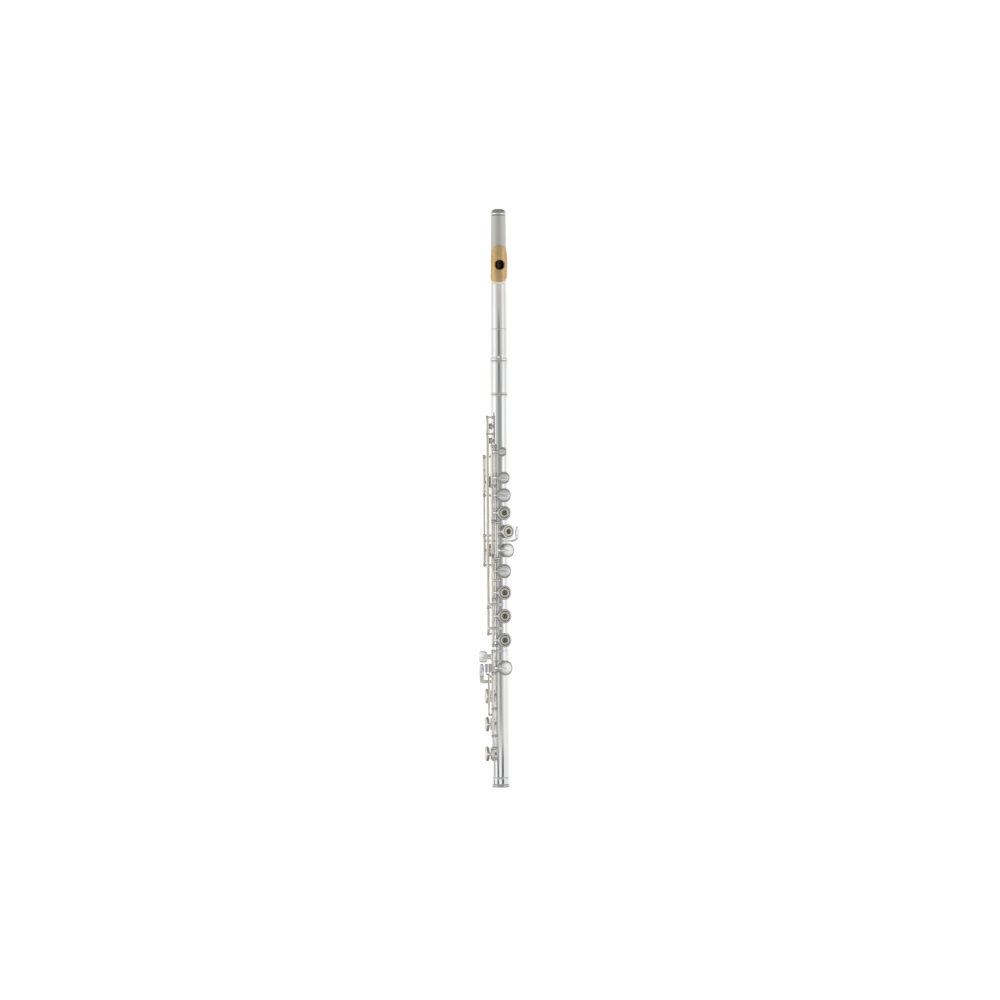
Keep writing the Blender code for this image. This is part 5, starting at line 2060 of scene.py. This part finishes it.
MIDDLE_LEVELS: Levels = (
    (-180.0, 0.75), (-130.0, 0.85), (-108.0, 0.82), (-92.0, 1.02), (-66.0, 1.1), (-52.0, 0.9),
    (-42.0, 0.52), (-20.0, 0.5), (-15.0, 0.31), (16.0, 0.31), (22.0, 0.42), (38.0, 0.54),
    (47.0, 1.05), (60.0, 1.06), (78.0, 0.82), (92.0, 0.75), (108.0, 0.82), (130.0, 1.05),
    (180.0, 0.75),
)
HIGH_LEVELS: Levels = (
    (-180.0, 0.75), (-130.0, 0.85), (-108.0, 0.71), (-88.0, 0.9), (-68.0, 1.05), (-52.0, 0.88),
    (-40.0, 0.66), (-22.0, 0.54), (-13.0, 0.22), (9.0, 0.22), (19.0, 0.48), (36.0, 0.57),
    (51.0, 0.82), (66.0, 0.93), (84.0, 0.72), (108.0, 0.72), (130.0, 1.0), (180.0, 0.75),
)
LOW_LEVELS: Levels = (
    (-180.0, 0.75), (-130.0, 0.85), (-108.0, 0.75), (-90.0, 0.85), (-75.0, 0.78), (-50.0, 0.72),
    (-30.0, 0.72), (-20.0, 0.64), (-9.0, 0.34), (7.0, 0.28), (14.0, 0.4), (24.0, 0.55),
    (38.0, 0.72), (52.0, 0.86), (68.0, 0.92), (84.0, 0.82), (108.0, 0.85), (130.0, 1.0),
    (180.0, 0.75),
)
TABLE_LEVELS: Levels = (
    (-180.0, 0.9), (-112.0, 0.9), (-104.0, 0.2), (-92.0, 0.2), (-84.0, 0.95), (-54.0, 0.95),
    (-47.0, 0.1), (-33.0, 0.1), (-27.0, 0.4), (-20.0, 0.92), (8.0, 0.92), (14.0, 0.2),
    (32.0, 0.08), (40.0, 0.12), (46.0, 0.8), (180.0, 0.9),
)


@dataclass
class Studio:
    """The white room: floor, camera and the soft surround that the metal mirrors."""

    facing: float = TOUCH_ANGLE
    distance: float = 6.0
    lens: float = 176.7
    aim: float = 0.3509
    lean: float = 0.268
    aside: float = 0.0004
    floor_radius: float = 0.06
    ceiling: float = 0.22
    below: float = 0.26
    cool: float = 0.022
    cool_reach: float = 60.0
    white: float = 1.05
    head_band: tuple[float, float] = (0.02, 0.027)
    head_fill: tuple[float, float] = (0.045, 0.053)
    head_grey: float = 0.56
    foot_band: tuple[float, float] = (-0.034, -0.029)
    foot_fill: tuple[float, float] = (-0.047, -0.0435)
    foot_grey: float = 0.66
    table_near: tuple[float, float] = (-0.0515, -0.0495)
    table_far: tuple[float, float] = (-0.075, -0.064)
    room_edge: tuple[float, float] = (0.12, 0.5)

    def make_camera(self) -> None:
        """Sets the camera level with the flute's middle, facing its keys, a little to the rods."""
        toward = spot(self.facing, 0, 1, 0)
        across = spot(self.facing, -1, 0, 0)
        lean = math.radians(self.lean)
        right = across * math.cos(lean) - UP * math.sin(lean)
        up = across * math.sin(lean) + UP * math.cos(lean)
        matrix = Matrix.Identity(4)
        for column, axis in enumerate((right, up, toward)):
            matrix.col[column][:3] = axis
        matrix.translation = toward * self.distance + UP * self.aim + across * self.aside
        data = bpy.data.cameras.new("camera")
        data.lens = self.lens
        data.sensor_width = 36.0
        data.clip_end = 50.0
        camera = bpy.data.objects.new("camera", data)
        camera.matrix_world = matrix
        bpy.context.scene.collection.objects.link(camera)
        bpy.context.scene.camera = camera

    def ramp(self, graph: Graph, around: Socket, levels: Levels) -> Socket:
        """Adds a ramp of brightness by direction.

        Args:
            graph: The world's nodes.
            around: The direction round the flute, from 0 to 1 with the camera at a half.
            levels: The brightness at each angle from the camera.

        Returns:
            The ramp's colour.
        """
        ramp = graph.node("ShaderNodeValToRGB", {"Fac": around})
        stops = ramp.color_ramp.elements
        stops.remove(stops[-1])
        for number, (degrees, level) in enumerate(levels):
            place = 0.5 + degrees / 360
            stop = stops[0] if number == 0 else stops.new(place)
            stop.position = place
            cool = self.cool * max(0.0, 1 - abs(degrees) / self.cool_reach)
            stop.color = (level * (1 - cool), level, level * (1 + cool), 1)
        return ramp.outputs["Color"]

    def filled(self, graph: Graph, colour: Socket, fill: Socket) -> Socket:
        """Lightens a colour to at least a level of grey."""
        grey = graph.node("ShaderNodeCombineColor", dict.fromkeys(range(3), fill)).outputs[0]
        return graph.mix(1.0, colour, grey, "LIGHTEN")

    def make_world(self) -> None:
        """Builds the surround, which looks white to the camera.

        Its brightness goes by direction round the flute, and changes with the direction's height.
        """
        world = bpy.data.worlds.new("studio")
        bpy.context.scene.world = world
        world.use_nodes = True
        graph = Graph(world.node_tree)
        way = graph.node("ShaderNodeTexCoord").outputs["Generated"]
        toward = spot(self.facing, 0, 1, 0)
        turn = (0.0, 0.0, -math.atan2(toward.y, toward.x))
        inputs = {"Vector": way, "Rotation": turn}
        facing = graph.node("ShaderNodeMapping", inputs, vector_type="POINT").outputs[0]
        around = graph.node("ShaderNodeTexGradient", {"Vector": facing}, gradient_type="RADIAL")
        around = around.outputs["Fac"]
        height = graph.node("ShaderNodeSeparateXYZ", {0: way}).outputs[2]
        upper, lower = (self.ramp(graph, around, levels) for levels in (HIGH_LEVELS, LOW_LEVELS))
        fill = graph.remap(height, *self.head_fill, 0.0, self.head_grey)
        upper = self.filled(graph, upper, fill)
        fill = graph.remap(height, *self.foot_fill, self.foot_grey, 0.0)
        lower = self.filled(graph, lower, fill)
        colour = self.ramp(graph, around, MIDDLE_LEVELS)
        colour = graph.mix(graph.remap(height, *self.head_band, 0.0, 1.0), colour, upper)
        colour = graph.mix(graph.remap(height, *self.foot_band, 1.0, 0.0), colour, lower)
        near = graph.remap(height, *self.table_near, 1.0, 0.0)
        near = graph.calc("MULTIPLY", near, graph.remap(height, *self.table_far, 0.0, 1.0))
        colour = graph.mix(near, colour, self.ramp(graph, around, TABLE_LEVELS))
        start, end = self.room_edge
        up = graph.remap(height, start, end, 0.0, 1.0)
        colour = graph.mix(up, colour, (*[self.ceiling] * 3, 1))
        down = graph.remap(height, -end, -start, 1.0, 0.0)
        colour = graph.mix(down, colour, (*[self.below] * 3, 1))
        soft = graph.node("ShaderNodeBackground", {"Color": colour, "Strength": 1.0}).outputs[0]
        inputs = {"Color": (1, 1, 1, 1), "Strength": self.white}
        white = graph.node("ShaderNodeBackground", inputs).outputs[0]
        graph.node("ShaderNodeOutputWorld", {"Surface": graph.seen_white(soft, white)})

    def make_floor(self) -> None:
        """Makes the pale floor that the flute stands on."""
        data = bpy.data.meshes.new("floor")
        shape = drum(self.floor_radius / MM, -12.0, -2.0, 96, Matrix.Identity(4))
        shape.to_mesh(data)
        shape.free()
        floor = bpy.data.objects.new("floor", data)
        bpy.context.scene.collection.objects.link(floor)
        material = bpy.data.materials.new("floor_white")
        material.use_nodes = True
        graph = Graph(material.node_tree)
        matt = graph.node("ShaderNodeBsdfDiffuse", {"Color": (0.7, 0.7, 0.7, 1)}).outputs[0]
        inputs = {"Color": (1, 1, 1, 1), "Strength": self.white}
        white = graph.node("ShaderNodeEmission", inputs).outputs[0]
        graph.node("ShaderNodeOutputMaterial", {"Surface": graph.seen_white(matt, white)})
        data.materials.append(material)
        floor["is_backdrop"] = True

    def make(self) -> None:
        """Makes the whole studio."""
        bpy.context.scene.view_settings.view_transform = "Standard"
        self.make_camera()
        self.make_world()
        self.make_floor()


def body_cups() -> dict[str, Cup]:
    """The body's cups by name, from the bottom of the tube up.

    Returns:
        Each cup under its short name.
    """
    fingered = CupStyle.FINGERED
    return {
        "d": Cup("d_pad", 0.0, fingered),
        "e": Cup("e_pad", 0.0, fingered),
        "f": Cup("f_pad", 0.0, fingered),
        "f_sharp": Cup("f_sharp_pad"),
        "g_sharp": Cup("g_sharp_pad", 165.0),
        "g_lower": Cup("g_lower_pad", -18.0),
        "g_upper": Cup("g_upper_pad", -18.0, fingered),
        "a": Cup("a_pad", 0.0, fingered),
        "b_flat": Cup("b_flat_pad"),
        "thumb_b": Cup("thumb_b_pad", 170.0),
        "c": Cup("c_key_pad"),
        "c_sharp": Cup("c_sharp_pad", 9.0),
        "d_trill": Cup("d_trill_pad", 105.0),
        "d_sharp_trill": Cup("d_sharp_trill_pad", 105.0),
    }


def main() -> None:
    """Loads the frame and makes the flute and its studio."""
    logging.basicConfig(level=logging.INFO, format="%(name)s: %(message)s")
    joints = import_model()["joints"]
    solid_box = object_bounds()
    Studio().make()
    workshop = Workshop()
    scatter = Scatter(workshop)
    HeadJoint(workshop).make()
    cups = body_cups()
    hinges = ("a_press", "g_press", "d_trill_press", "thumb_b_press")
    lines = [Line.of_joint(joints, name) for name in hinges]
    body = BodyJoint(workshop, scatter, list(cups.values()), *lines)
    body.make()
    BodyKeys(workshop, body, cups).make()
    FootJoint(workshop, scatter, Line.of_joint(joints, "foot_b_press")).make()
    LOG.info("%d pieces made", workshop.made)
    boxes = {"cad": solid_box, "visual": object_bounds()}
    boxes = {name: [list(corner) for corner in box] for name, box in boxes.items()}


if __name__ == "__main__":
    main()
